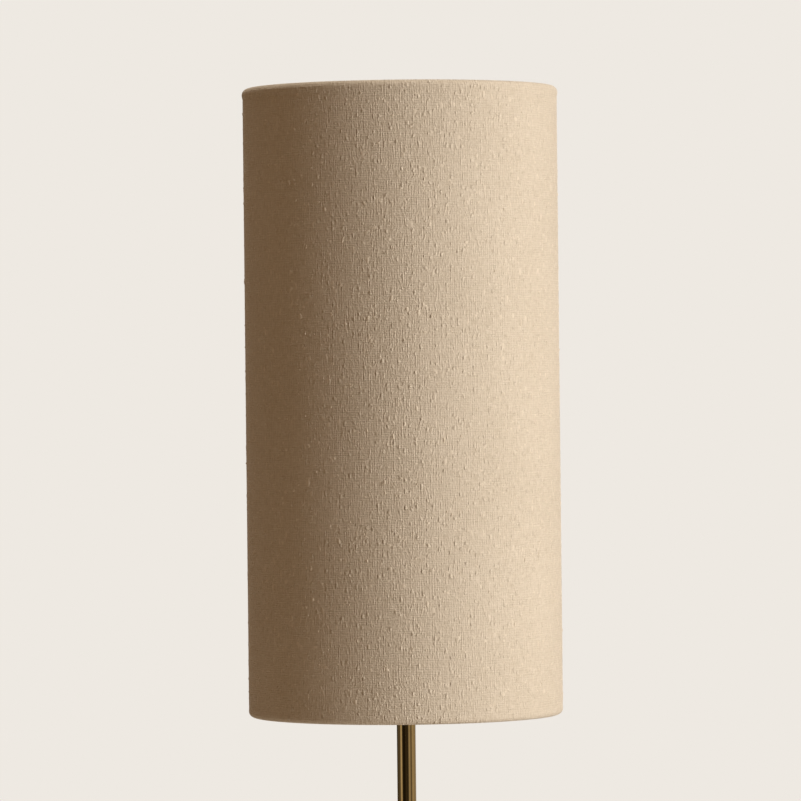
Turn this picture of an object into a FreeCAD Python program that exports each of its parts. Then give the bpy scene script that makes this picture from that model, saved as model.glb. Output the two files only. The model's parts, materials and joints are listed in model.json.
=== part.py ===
"""Column floor lamp: a tall drum shade of slub linen on a harp, a slim brass stem and a weighted round base.

Millimetres. +Z is up. The origin is on the floor, at the middle of the base. -Y is the front, and the cord
outlet is at the back, at +Y. The harp lies in the XZ plane, and the switch knob points to the front.
"""

import FreeCAD, Part
import math
import os

# Whole lamp
OVERALL_HEIGHT = 1500.0  # floor to the top edge of the shade
FIT = 0.1  # gap between pieces that are pushed, glued or dropped together
RUNNING = 0.05  # radial gap of a shaft that turns or slides

# Shade
SHADE_DIAMETER = 300.0
SHADE_HEIGHT = 600.0
CLOTH = 1.0  # thickness of the linen
LINER = 0.5  # thickness of the white backing sheet
RING_WIRE = 4.0  # diameter of the wire in the top and bottom edges
TOP_BEAD = 0.9  # how far the rolled top edge stands out past the wall
BOTTOM_BEAD = 0.2
BEAD_TAPER = 6.0  # height over which the wall runs out to a bead
HEM_RETURN = 1.8  # straight stretch of cloth inside the ring

# Spider that hangs the shade from the harp
SPIDER_DROP = 27.0  # top edge of the shade to the top face of the hub
SPIDER_ARMS = 3
SPIDER_WIRE = 3.5
SPIDER_BEND = 12.0  # radius of the wire's centre line where an arm turns up to the ring
SPIDER_FIRST_ARM = 90.0  # degrees from +X
HUB_DIAMETER = 28.0
HUB_THICKNESS = 1.6
HUB_CLEARANCE = 0.2  # radial, round the harp's stud
HUB_LAP = 2.0  # length of each arm that lies inside the hub

# Finial
FINIAL_FOOT_DIAMETER = 14.0
FINIAL_FOOT = 2.5
FINIAL_NECK_DIAMETER = 9.0
FINIAL_BALL_DIAMETER = 15.0
FINIAL_HEIGHT = 23.0
FINIAL_BORE_SPARE = 1.5  # depth of the bore past the end of the stud
FINIAL_HOLLOW = 0.4  # how far its neck curves in

# Harp
HARP_HEIGHT = 290.0  # end of the legs to the top of the boss
HARP_WIRE = 4.4
HARP_WAIST = 117.0  # centre line to centre line, where it is widest
HARP_SHOULDER = 78.0  # centre line to centre line of the corners at the top
HARP_LEG = 42.0  # straight length of each leg
HARP_LOWER_SWELL = 110.0  # leg end to the corner where the flare becomes upright
HARP_UPPER_SWELL = 215.0  # leg end to the corner where it turns in again
HARP_LEG_BEND = 60.0
HARP_SWELL_BEND = 75.0
HARP_SHOULDER_BEND = 20.0
HARP_BOSS_DIAMETER = 11.0
HARP_BOSS_HEIGHT = 5.0
STUD_DIAMETER = 6.2
STUD_PAST_HUB = 10.0
STUD_FLANGE_DIAMETER = 13.0
STUD_FLANGE = 3.0
STUD_SHANK_DIAMETER = 4.1
STUD_RIVET_DIAMETER = 7.2
STUD_RIVET = 1.4

# Saddle that holds the harp, and the sleeves that lock its legs
SADDLE_STRIP = 1.5
SADDLE_WIDTH = 12.0
SADDLE_RISE = 24.0  # underside to the shoulder that the sleeves stand on
SADDLE_ARM_OFFSET = 27.0  # axis of the stem to the middle of the upright strip
SADDLE_BEND = 5.0  # outer radius of the strip's bends
TONGUE_WIDTH = 4.0
TONGUE_HEIGHT = 11.0
SLEEVE_HEIGHT = 14.0
SLEEVE_WALL = 0.75
SLEEVE_CLEARANCE = 0.1

# Stem
STEM_DIAMETER = 18.0
STEM_WALL = 1.0
STEM_CHAMFER = 0.3  # on the ends, which shows as a fine line where the two lengths meet
LOWER_STEM_LENGTH = 560.0
PLUG_LENGTH = 20.0
THREAD_DIAMETER = 9.8  # of the hollow rods that join everything
THREAD_GAP = 0.05  # radial, in a threaded hole
ROD_BORE = 7.0
ROD_IN_PLUG = 16.0  # length of a hollow rod inside a plug
STEM_CAP_DIAMETER = 24.0
STEM_CAP_HEIGHT = 4.0
STEM_CAP_EDGE = 1.2
COLLAR_DIAMETER = 44.0
COLLAR_HEIGHT = 11.0
COLLAR_LIP = 3.0
COLLAR_NECK_WALL = 2.0
COLLAR_HOLLOW = 1.8  # how far its side curves in
COLLAR_CHAMFER = 0.7

# Base
BASE_DIAMETER = 280.0
BASE_HEIGHT = 25.0
COVER_WALL = 1.2
COVER_EDGE = 6.0  # radius of its top edge
PAD_THICKNESS = 2.5
PAD_INSET = 6.0  # rim of the cover to the rim of the pad
PAD_HOLE_DIAMETER = 60.0
PLATE_THICKNESS = 1.0
PLATE_INSET = 3.0  # rim of the plate to the rim of the weight
PLATE_SCREWS = 3
PLATE_SCREW_CIRCLE = 84.0  # radius
PLATE_SCREW_DIAMETER = 3.5
PLATE_SCREW_HEAD_DIAMETER = 7.0
PLATE_SCREW_HEAD = 1.5
PLATE_SCREW_LENGTH = 10.0
PAD_CUT = 1.0  # radial room that the pad leaves round a screw head
WEIGHT_WELL_DIAMETER = 44.0
WEIGHT_WELL_ROOF = 5.0  # iron left above the well
WASHER_DIAMETER = 26.0
WASHER_THICKNESS = 2.0
NUT_ACROSS_FLATS = 14.0
NUT_THICKNESS = 5.0
ROD_PAST_NUT = 1.0

# Cord outlet and terminal block in the base
GLAND_BORE = 6.8
GLAND_BARREL_DIAMETER = 11.0
GLAND_BARREL = 13.0
GLAND_FLANGE_DIAMETER = 15.0
GLAND_FLANGE = 2.0
GLAND_EDGE = 0.7  # radius of the flange's outer edge
GLAND_CENTRE_HEIGHT = 11.0
CHANNEL_WIDTH = 12.0
BLOCK_WIDTH = 16.0
BLOCK_LENGTH = 20.0
BLOCK_HEIGHT = 9.0
BLOCK_DISTANCE = 62.0  # axis of the stem to the middle of the block
BLOCK_ROOM = 2.0  # room round the block in its pocket
BLOCK_POLE_SPACING = 8.0
BLOCK_SLEEVE_DIAMETER = 5.0
BLOCK_SLEEVE_BORE = 2.8
BLOCK_SCREW_DIAMETER = 2.6
BLOCK_SCREW_INSET = 4.5  # end of the block to the axis of its screws
FIXING_DIAMETER = 2.2  # of the screw that holds the block to the weight
FIXING_HEAD_DIAMETER = 4.0
FIXING_HEAD = 1.5
FIXING_IN_WEIGHT = 5.0
CORE_WIRE_DIAMETER = 2.2
CORE_WIRE_SPACING = 2.8
CORE_WIRE_CLEARANCE = 0.6  # over the plate
CORE_WIRE_BEND = 8.0
CORE_WIRE_IN_BLOCK = 6.0
CORE_WIRE_TIGHT_BEND = 4.0  # in the lampholder
CORE_WIRE_SPREAD = 4.5  # rod's end to the bend outwards, and bend upwards to the foot of the core

# Lampholder
HOLDER_HUB_DIAMETER = 16.0
HOLDER_HUB = 6.0  # height of the straight neck under the cap's bowl
HOLDER_SHEET = 0.8
HOLDER_SKIRT = 11.5  # straight wall of the cap above its bowl
HOLDER_SHELL_LAP = 8.0  # shell inside the cap
HOLDER_SHELL_DIAMETER = 31.2
HOLDER_SHELL_WALL = 0.5
HOLDER_SHELL = 58.0
HOLDER_BEAD = 0.6  # rolled mouth of the shell
HOLDER_SLEEVE_WALL = 0.4
CORE_HEIGHT = 26.0
CORE_LIFT = 4.0  # end of the shell to the foot of the core
LAMP_THREAD_PITCH = 3.6
LAMP_THREADS = 6
LAMP_THREAD_DEPTH = 0.6
SCREW_SHELL_WALL = 0.35
SCREW_SHELL_BORE = 26.7
CONTACT_DIAMETER = 8.0
CONTACT_HEIGHT = 1.2
CONTACT_ROOM = 2.0  # contact's rim to the foot of the screw shell
TERMINAL_POCKET_WIDTH = 9.0
TERMINAL_POCKET_HEIGHT = 15.0
TERMINAL_POCKET_DEPTH = 4.0
TERMINAL_HEAD_DIAMETER = 5.6
TERMINAL_HEAD = 1.6
TERMINAL_SHANK_DIAMETER = 3.0
TERMINAL_SHANK = 5.0
TERMINAL_HEIGHT = 9.5  # foot of the core to the axis of a terminal screw
SET_SCREW_DIAMETER = 3.0
SPINDLE_DIAMETER = 4.8
SPINDLE_HEIGHT = 17.0  # foot of the core to the spindle's axis
SPINDLE_IN_CORE = 10.0
SPINDLE_IN_KNOB = 9.0
SPINDLE_HOLE_CLEARANCE = 0.6  # radial, through the shell and its sleeve
KNOB_COLLAR_DIAMETER = 10.0
KNOB_COLLAR = 3.0
KNOB_DIAMETER = 16.0
KNOB_THICKNESS = 5.6
KNOB_LENGTH = 14.0
KNOB_EDGE = 0.9  # radius of its edges
KNOB_GAP = 0.8  # shell to knob

# Lamp (bulb)
BULB_DIAMETER = 60.0
BULB_LENGTH = 106.0
BULB_WALL = 0.9
BULB_NECK_DIAMETER = 25.4
BULB_CAP_LENGTH = 27.0
BULB_CAP_DIAMETER = 26.4
BULB_CAP_WALL = 0.3
BULB_TIP_DIAMETER = 9.5
BULB_TIP = 1.2
BULB_TIP_FLAT = 4.8  # diameter of its flat end
BULB_TIP_BULGE = 0.3
BULB_INSULATOR = 3.4
BULB_INSULATOR_DIAMETER = 22.0
BULB_SHOULDER_ANGLE = -42.0  # where the round envelope runs into the neck
BULB_NECK_SAG = 2.8

V = FreeCAD.Vector
ORIGIN = V(0, 0, 0)
UP = V(0, 0, 1)

# Heights that several pieces share, from the top edge down
HUB_TOP = OVERALL_HEIGHT - SPIDER_DROP
HUB_BOTTOM = HUB_TOP - HUB_THICKNESS
BOSS_TOP = HUB_BOTTOM - STUD_FLANGE
BOSS_BOTTOM = BOSS_TOP - HARP_BOSS_HEIGHT
HARP_FOOT = BOSS_TOP - HARP_HEIGHT
SADDLE_BOTTOM = HARP_FOOT - SADDLE_RISE
HOLDER_BOTTOM = SADDLE_BOTTOM + SADDLE_STRIP
STEM_TOP = SADDLE_BOTTOM - STEM_CAP_HEIGHT
STEM_BOTTOM = BASE_HEIGHT
STEM_JOINT = STEM_BOTTOM + LOWER_STEM_LENGTH
SHADE_BOTTOM = OVERALL_HEIGHT - SHADE_HEIGHT

# Lampholder levels, from its foot up
BOWL_RADIUS = (HOLDER_SHELL_DIAMETER - HOLDER_HUB_DIAMETER) / 2 + FIT + HOLDER_SHEET
BOWL_TOP = HOLDER_BOTTOM + HOLDER_HUB + BOWL_RADIUS
CAP_TOP = BOWL_TOP + HOLDER_SKIRT
SHELL_BOTTOM = CAP_TOP - HOLDER_SHELL_LAP
SHELL_TOP = SHELL_BOTTOM + HOLDER_SHELL
HOLDER_ROD_TOP = HOLDER_BOTTOM + HOLDER_HUB + HOLDER_SHEET
CORE_BOTTOM = SHELL_BOTTOM + CORE_LIFT
CORE_TOP = CORE_BOTTOM + CORE_HEIGHT
SPINDLE_Z = CORE_BOTTOM + SPINDLE_HEIGHT
TERMINAL_Z = CORE_BOTTOM + TERMINAL_HEIGHT
BULB_BOTTOM = CORE_TOP + CONTACT_HEIGHT + FIT

# Base levels, from the floor up
PLATE_BOTTOM = PAD_THICKNESS
WEIGHT_BOTTOM = PLATE_BOTTOM + PLATE_THICKNESS
WEIGHT_TOP = BASE_HEIGHT - COVER_WALL - FIT
WELL_TOP = WEIGHT_TOP - WEIGHT_WELL_ROOF
NUT_BOTTOM = WELL_TOP - WASHER_THICKNESS - NUT_THICKNESS
ROD_BOTTOM = NUT_BOTTOM - ROD_PAST_NUT
BLOCK_BOTTOM = WEIGHT_BOTTOM + BLOCK_ROOM
BLOCK_TOP = BLOCK_BOTTOM + BLOCK_HEIGHT
POLE_Z = BLOCK_BOTTOM + BLOCK_HEIGHT / 2
CORE_WIRE_Z = WEIGHT_BOTTOM + CORE_WIRE_CLEARANCE + CORE_WIRE_DIAMETER / 2

# Radii that several pieces share
SHADE_RADIUS = SHADE_DIAMETER / 2
LINER_OUTER = SHADE_RADIUS - CLOTH - FIT
LINER_INNER = LINER_OUTER - LINER
RING_RADIUS = LINER_INNER - FIT - RING_WIRE / 2
THREAD_HOLE = THREAD_DIAMETER / 2 + THREAD_GAP
WEIGHT_RADIUS = BASE_DIAMETER / 2 - COVER_WALL - FIT
SHELL_RADIUS = HOLDER_SHELL_DIAMETER / 2
SLEEVE_OUTER = SHELL_RADIUS - HOLDER_SHELL_WALL - FIT
CORE_RADIUS = SLEEVE_OUTER - HOLDER_SLEEVE_WALL - FIT

# The cloth's rolled edges: half circles round the rings, from the wall's bead to the return inside
HEM_INNER = RING_RADIUS - RING_WIRE / 2 - FIT - CLOTH
TOP_ROLL = (SHADE_RADIUS + TOP_BEAD - HEM_INNER) / 2
BOTTOM_ROLL = (SHADE_RADIUS + BOTTOM_BEAD - HEM_INNER) / 2
TOP_RING_Z = OVERALL_HEIGHT - TOP_ROLL
BOTTOM_RING_Z = SHADE_BOTTOM + BOTTOM_ROLL

# The terminal block along the Y axis
BLOCK_NEAR = BLOCK_DISTANCE - BLOCK_LENGTH / 2
BLOCK_FAR = BLOCK_DISTANCE + BLOCK_LENGTH / 2


def on_arc(centre, radius, start, end):
    """The middle and the end of an arc about centre, as (r, z) points. Degrees, from +r towards +z."""
    points = []
    for angle in ((start + end) / 2, end):
        turn = math.radians(angle)
        points.append((centre[0] + radius * math.cos(turn), centre[1] + radius * math.sin(turn)))
    return tuple(points)


def bowed(start, end, sag):
    """The middle and the end of an arc from start to end that bows out by sag, to the left of its way."""
    along, up = end[0] - start[0], end[1] - start[1]
    chord = math.hypot(along, up)
    middle = ((start[0] + end[0]) / 2 - up / chord * sag, (start[1] + end[1]) / 2 + along / chord * sag)
    return middle, end


def turned(start, *steps):
    """A solid turned about Z. A step is an (r, z) point, or a pair of them: an arc by one to the other."""
    edges, here = [], V(start[0], 0, start[1])
    for step in (*steps, start):
        if isinstance(step[0], tuple):
            middle, there = (V(r, 0, z) for r, z in step)
            edges.append(Part.Arc(here, middle, there).toShape())
        else:
            there = V(step[0], 0, step[1])
            if here.distanceToPoint(there) < 1e-7:
                continue
            edges.append(Part.LineSegment(here, there).toShape())
        here = there
    return Part.Face(Part.Wire(edges)).revolve(ORIGIN, UP, 360)


def rod(radius, bottom, top, bore=0.0):
    """A cylinder on the lamp's axis, with an optional bore."""
    solid = Part.makeCylinder(radius, top - bottom, V(0, 0, bottom))
    if bore:
        solid = solid.cut(Part.makeCylinder(bore, top - bottom, V(0, 0, bottom)))
    return solid


def box(low, high):
    """A block between two corners."""
    size = high - low
    return Part.makeBox(size.x, size.y, size.z, low)


def bent_path(points, radii):
    """Straight runs through points, joined by tangent arcs of the given radii at the inner points."""
    edges, here = [], points[0]
    for before, corner, after, radius in zip(points, points[1:], points[2:], radii):
        back, on = (before - corner).normalize(), (after - corner).normalize()
        half = back.getAngle(on) / 2
        reach = radius / math.tan(half)
        first, last = corner + back * reach, corner + on * reach
        inward = (back + on).normalize()
        middle = corner + inward * (radius / math.sin(half) - radius)
        edges.append(Part.LineSegment(here, first).toShape())
        edges.append(Part.Arc(first, middle, last).toShape())
        here = last
    edges.append(Part.LineSegment(here, points[-1]).toShape())
    return Part.Wire(edges)


def wire_along(path, radius):
    """A round wire along a path."""
    first = path.Edges[0]
    start = first.valueAt(first.FirstParameter)
    way = first.tangentAt(first.FirstParameter)
    section = Part.Wire(Part.makeCircle(radius, start, way))
    return path.makePipeShell([section], True, False)


def spun(shape, count, first=0.0):
    """count copies of a shape, evenly turned about the lamp's axis."""
    copies = []
    for i in range(count):
        copy = shape.copy()
        copy.rotate(ORIGIN, UP, first + 360.0 / count * i)
        copies.append(copy)
    return copies


def mirrored(shape):
    """A shape and its mirror image across the YZ plane."""
    return [shape, shape.mirror(ORIGIN, V(1, 0, 0))]


# Shade


def shade_fabric():
    """The linen: the wall, and at each end the edge that is rolled over the ring."""
    inner, lap = SHADE_RADIUS - CLOTH, HEM_INNER + CLOTH
    top, bottom = SHADE_RADIUS + TOP_BEAD, SHADE_RADIUS + BOTTOM_BEAD
    top_centre = (top - TOP_ROLL, TOP_RING_Z)
    bottom_centre = (bottom - BOTTOM_ROLL, BOTTOM_RING_Z)
    return turned(
        (SHADE_RADIUS, BOTTOM_RING_Z + BEAD_TAPER),
        (SHADE_RADIUS, TOP_RING_Z - BEAD_TAPER),
        (top, TOP_RING_Z),
        on_arc(top_centre, TOP_ROLL, 0, 180),
        (HEM_INNER, TOP_RING_Z - HEM_RETURN),
        (lap, TOP_RING_Z - HEM_RETURN),
        (lap, TOP_RING_Z),
        on_arc(top_centre, TOP_ROLL - CLOTH, 180, 0),
        (inner, TOP_RING_Z - BEAD_TAPER),
        (inner, BOTTOM_RING_Z + BEAD_TAPER),
        (bottom - CLOTH, BOTTOM_RING_Z),
        on_arc(bottom_centre, BOTTOM_ROLL - CLOTH, 0, -180),
        (lap, BOTTOM_RING_Z + HEM_RETURN),
        (HEM_INNER, BOTTOM_RING_Z + HEM_RETURN),
        (HEM_INNER, BOTTOM_RING_Z),
        on_arc(bottom_centre, BOTTOM_ROLL, -180, 0),
    )


def shade_liner():
    """The white sheet that the linen is laminated to."""
    return rod(LINER_OUTER, BOTTOM_RING_Z, TOP_RING_Z, LINER_INNER)


def shade_ring(level):
    """A wire ring in a rolled edge."""
    return Part.makeTorus(RING_RADIUS, RING_WIRE / 2, V(0, 0, level))


def shade_spider():
    """The top ring, its arms and the hub that they dip to, welded into one piece."""
    level = (HUB_TOP + HUB_BOTTOM) / 2
    start = V(HUB_DIAMETER / 2 - HUB_LAP, 0, level)
    path = bent_path([start, V(RING_RADIUS, 0, level), V(RING_RADIUS, 0, TOP_RING_Z)], [SPIDER_BEND])
    arms = spun(wire_along(path, SPIDER_WIRE / 2), SPIDER_ARMS, SPIDER_FIRST_ARM)
    hub = rod(HUB_DIAMETER / 2, HUB_BOTTOM, HUB_TOP, STUD_DIAMETER / 2 + HUB_CLEARANCE)
    return hub.multiFuse([*arms, shade_ring(TOP_RING_Z)])


def finial():
    """The knob that screws down on the hub."""
    foot, neck, ball = FINIAL_FOOT_DIAMETER / 2, FINIAL_NECK_DIAMETER / 2, FINIAL_BALL_DIAMETER / 2
    bore = STUD_DIAMETER / 2 + RUNNING
    centre = HUB_TOP + FINIAL_HEIGHT - ball
    meet = -math.acos(neck / ball)
    round_edge = FINIAL_FOOT / 2
    middle = HUB_TOP + round_edge
    neck_top = (neck, centre + ball * math.sin(meet))
    return turned(
        (bore, HUB_TOP),
        (foot - round_edge, HUB_TOP),
        on_arc((foot - round_edge, middle), round_edge, -90, 90),
        bowed((foot - round_edge, HUB_TOP + FINIAL_FOOT), neck_top, FINIAL_HOLLOW),
        on_arc((0, centre), ball, math.degrees(meet), 90),
        (0, HUB_TOP + STUD_PAST_HUB + FINIAL_BORE_SPARE),
        (bore, HUB_TOP + STUD_PAST_HUB + FINIAL_BORE_SPARE),
    )


# Harp and saddle


def tongue(gap=0.0):
    """The space of the right-hand tongue, with a gap at its broad faces."""
    half = SADDLE_STRIP / 2 + gap
    wide = TONGUE_WIDTH / 2 + gap
    return box(
        V(SADDLE_ARM_OFFSET - half, -wide, HARP_FOOT),
        V(SADDLE_ARM_OFFSET + half, wide, HARP_FOOT + TONGUE_HEIGHT),
    )


def harp():
    """The bent wire loop, slotted at its ends for the tongues, with the boss that the stud turns in."""
    centre = (BOSS_TOP + BOSS_BOTTOM) / 2
    right = [
        V(SADDLE_ARM_OFFSET, 0, HARP_FOOT),
        V(SADDLE_ARM_OFFSET, 0, HARP_FOOT + HARP_LEG),
        V(HARP_WAIST / 2, 0, HARP_FOOT + HARP_LOWER_SWELL),
        V(HARP_WAIST / 2, 0, HARP_FOOT + HARP_UPPER_SWELL),
        V(HARP_SHOULDER / 2, 0, centre),
    ]
    left = [V(-point.x, 0, point.z) for point in reversed(right)]
    bends = [HARP_LEG_BEND, HARP_SWELL_BEND, HARP_SWELL_BEND, HARP_SHOULDER_BEND]
    solid = wire_along(bent_path(right + left, bends + bends[::-1]), HARP_WIRE / 2)
    solid = solid.fuse(rod(HARP_BOSS_DIAMETER / 2, BOSS_BOTTOM, BOSS_TOP))
    for slot in mirrored(tongue(FIT)):
        solid = solid.cut(slot)
    return solid.cut(rod(STUD_SHANK_DIAMETER / 2 + RUNNING, BOSS_BOTTOM, BOSS_TOP))


def harp_stud():
    """The threaded stud that turns in the harp's boss: flange and thread above, riveted head below."""
    shank, flange = STUD_SHANK_DIAMETER / 2, STUD_FLANGE_DIAMETER / 2
    rivet_top = BOSS_BOTTOM - RUNNING
    return turned(
        (0, rivet_top - STUD_RIVET),
        (STUD_RIVET_DIAMETER / 2, rivet_top - STUD_RIVET),
        (STUD_RIVET_DIAMETER / 2, rivet_top),
        (shank, rivet_top),
        (shank, BOSS_TOP + RUNNING),
        (flange, BOSS_TOP + RUNNING),
        (flange, HUB_BOTTOM),
        (STUD_DIAMETER / 2, HUB_BOTTOM),
        (STUD_DIAMETER / 2, HUB_TOP + STUD_PAST_HUB),
        (0, HUB_TOP + STUD_PAST_HUB),
    )


def strip_block(outer, bottom, top, bend):
    """A block as wide as the saddle's strip, with the two lower corners of its outline rounded."""
    half = SADDLE_WIDTH / 2
    block = box(V(-outer, -half, bottom), V(outer, half, top))
    corners = [e for e in block.Edges if e.BoundBox.YLength > half and e.BoundBox.ZMax < (bottom + top) / 2]
    return block.makeFillet(bend, corners)


def harp_saddle():
    """A strip bent up at both ends, with a narrow tongue on each for a leg of the harp."""
    outer = SADDLE_ARM_OFFSET + SADDLE_STRIP / 2
    strip = strip_block(outer, SADDLE_BOTTOM, HARP_FOOT, SADDLE_BEND)
    inside = strip_block(outer - SADDLE_STRIP, HOLDER_BOTTOM, HARP_FOOT, SADDLE_BEND - SADDLE_STRIP)
    strip = strip.cut(inside).multiFuse(mirrored(tongue())).removeSplitter()
    return strip.cut(rod(THREAD_HOLE, SADDLE_BOTTOM, HOLDER_BOTTOM))


def harp_sleeve():
    """The sleeve that drops over the right-hand tongue and leg, and stands on the strip's shoulders."""
    bore = max(HARP_WIRE / 2, math.hypot(SADDLE_STRIP / 2, TONGUE_WIDTH / 2)) + SLEEVE_CLEARANCE
    place = V(SADDLE_ARM_OFFSET, 0, HARP_FOOT)
    sleeve = Part.makeCylinder(bore + SLEEVE_WALL, SLEEVE_HEIGHT, place)
    return sleeve.cut(Part.makeCylinder(bore, SLEEVE_HEIGHT, place))


# Stem


def stem_tube(bottom, top):
    """One length of the stem."""
    outer, chamfer = STEM_DIAMETER / 2, STEM_CHAMFER
    inner = outer - STEM_WALL
    return turned(
        (inner, bottom),
        (outer - chamfer, bottom),
        (outer, bottom + chamfer),
        (outer, top - chamfer),
        (outer - chamfer, top),
        (inner, top),
    )


def stem_plug(bottom):
    """A threaded plug pressed into the end of a tube."""
    return rod(STEM_DIAMETER / 2 - STEM_WALL - RUNNING, bottom, bottom + PLUG_LENGTH, THREAD_HOLE)


def hollow_rod(bottom, top):
    """A length of hollow threaded rod."""
    return rod(THREAD_DIAMETER / 2, bottom, top, ROD_BORE / 2)


def stem_collar():
    """The turned collar that hides where the stem meets the base."""
    outer, bore = COLLAR_DIAMETER / 2, STEM_DIAMETER / 2 + FIT
    neck = STEM_DIAMETER / 2 + COLLAR_NECK_WALL
    foot, top = STEM_BOTTOM, STEM_BOTTOM + COLLAR_HEIGHT
    edge = COLLAR_LIP / 2
    ledge = (outer - edge, foot + COLLAR_LIP)
    rim = (neck, top - COLLAR_CHAMFER)
    return turned(
        (bore, foot),
        (outer - edge, foot),
        on_arc((outer - edge, foot + edge), edge, -90, 90),
        bowed(ledge, rim, COLLAR_HOLLOW),
        (neck - COLLAR_CHAMFER, top),
        (bore, top),
    )


def stem_cap():
    """The disc that closes the top of the stem under the saddle."""
    outer, edge = STEM_CAP_DIAMETER / 2, STEM_CAP_EDGE
    return turned(
        (THREAD_HOLE, STEM_TOP),
        (outer - edge, STEM_TOP),
        on_arc((outer - edge, STEM_TOP + edge), edge, -90, 0),
        (outer, SADDLE_BOTTOM - edge),
        on_arc((outer - edge, SADDLE_BOTTOM - edge), edge, 0, 90),
        (THREAD_HOLE, SADDLE_BOTTOM),
    )


# Base


def outlet_bore(radius, start, end):
    """A cylinder along +Y at the height of the cord outlet."""
    return Part.makeCylinder(radius, end - start, V(0, start, GLAND_CENTRE_HEIGHT), V(0, 1, 0))


def base_cover():
    """The spun brass shell over the weight, with its holes for the stem's rod and the cord outlet."""
    outer, edge, wall = BASE_DIAMETER / 2, COVER_EDGE, COVER_WALL
    shell = turned(
        (outer - wall, PLATE_BOTTOM),
        (outer, PLATE_BOTTOM),
        (outer, BASE_HEIGHT - edge),
        on_arc((outer - edge, BASE_HEIGHT - edge), edge, 0, 90),
        (THREAD_HOLE, BASE_HEIGHT),
        (THREAD_HOLE, BASE_HEIGHT - wall),
        (outer - edge, BASE_HEIGHT - wall),
        on_arc((outer - edge, BASE_HEIGHT - edge), edge - wall, 90, 0),
    )
    return shell.cut(outlet_bore(GLAND_BARREL_DIAMETER / 2 + FIT, 0, outer + wall))


def block_pocket():
    """The space in the weight for the terminal block."""
    half, reach = BLOCK_WIDTH / 2 + BLOCK_ROOM, BLOCK_LENGTH / 2 + BLOCK_ROOM
    return box(V(-half, BLOCK_DISTANCE - reach, WEIGHT_BOTTOM), V(half, BLOCK_DISTANCE + reach, BLOCK_TOP))


def plate_screw_places():
    """The axes of the bottom plate's screws, with the first at the front."""
    turns = [math.radians(-90 + 360 / PLATE_SCREWS * i) for i in range(PLATE_SCREWS)]
    return [V(PLATE_SCREW_CIRCLE * math.cos(t), PLATE_SCREW_CIRCLE * math.sin(t), 0) for t in turns]


def base_weight():
    """The cast disc that steadies the lamp, with a well for the nut, a pocket for the block and a channel."""
    edge = COVER_EDGE - COVER_WALL
    solid = turned(
        (0, WEIGHT_BOTTOM),
        (WEIGHT_RADIUS, WEIGHT_BOTTOM),
        (WEIGHT_RADIUS, WEIGHT_TOP - edge),
        on_arc((WEIGHT_RADIUS - edge, WEIGHT_TOP - edge), edge, 0, 90),
        (0, WEIGHT_TOP),
    )
    half, channel_end = CHANNEL_WIDTH / 2, WEIGHT_RADIUS - GLAND_BARREL
    roof = GLAND_CENTRE_HEIGHT + GLAND_BORE / 2 + FIT
    solid = solid.cut(box(V(-half, 0, WEIGHT_BOTTOM), V(half, channel_end, roof)))
    solid = solid.cut(outlet_bore(GLAND_BARREL_DIAMETER / 2 + FIT, channel_end, WEIGHT_RADIUS))
    solid = solid.cut(block_pocket())
    solid = solid.cut(fixing_screw(FIT))
    solid = solid.cut(rod(WEIGHT_WELL_DIAMETER / 2, WEIGHT_BOTTOM, WELL_TOP))
    screw_hole = PLATE_SCREW_DIAMETER / 2 + RUNNING
    for place in plate_screw_places():
        solid = solid.cut(Part.makeCylinder(screw_hole, PLATE_SCREW_LENGTH, place + UP * WEIGHT_BOTTOM))
    return solid.cut(rod(THREAD_HOLE, WELL_TOP, WEIGHT_TOP))


def base_plate():
    """The steel plate that closes the underside."""
    plate = rod(WEIGHT_RADIUS - PLATE_INSET, PLATE_BOTTOM, WEIGHT_BOTTOM)
    for place in plate_screw_places():
        hole = Part.makeCylinder(PLATE_SCREW_DIAMETER / 2 + FIT, PLATE_THICKNESS, place + UP * PLATE_BOTTOM)
        plate = plate.cut(hole)
    return plate


def plate_screws():
    """The screws that hold the plate, with low pan heads that stand clear of the floor."""
    head_foot = UP * (PLATE_BOTTOM - PLATE_SCREW_HEAD)
    length = PLATE_THICKNESS + PLATE_SCREW_LENGTH - FIT
    screws = []
    for place in plate_screw_places():
        head = Part.makeCylinder(PLATE_SCREW_HEAD_DIAMETER / 2, PLATE_SCREW_HEAD, place + head_foot)
        shank = Part.makeCylinder(PLATE_SCREW_DIAMETER / 2, length, place + UP * PLATE_BOTTOM)
        screws.append(head.fuse(shank))
    return screws


def base_pad():
    """The felt ring that stands on the floor, cut away round the screws of the plate."""
    pad = rod(BASE_DIAMETER / 2 - PAD_INSET, 0, PAD_THICKNESS, PAD_HOLE_DIAMETER / 2)
    for place in plate_screw_places():
        pad = pad.cut(Part.makeCylinder(PLATE_SCREW_HEAD_DIAMETER / 2 + PAD_CUT, PAD_THICKNESS, place))
    return pad


def base_washer():
    """The washer under the weight."""
    return rod(WASHER_DIAMETER / 2, WELL_TOP - WASHER_THICKNESS, WELL_TOP, THREAD_HOLE)


def base_nut():
    """The hexagon nut that pulls the stem down on the base."""
    corner = NUT_ACROSS_FLATS / math.sqrt(3)
    turns = [math.radians(60 * i) for i in range(7)]
    points = [V(corner * math.cos(t), corner * math.sin(t), NUT_BOTTOM) for t in turns]
    prism = Part.Face(Part.makePolygon(points)).extrude(UP * NUT_THICKNESS)
    return prism.cut(rod(THREAD_HOLE, NUT_BOTTOM, NUT_BOTTOM + NUT_THICKNESS))


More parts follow.
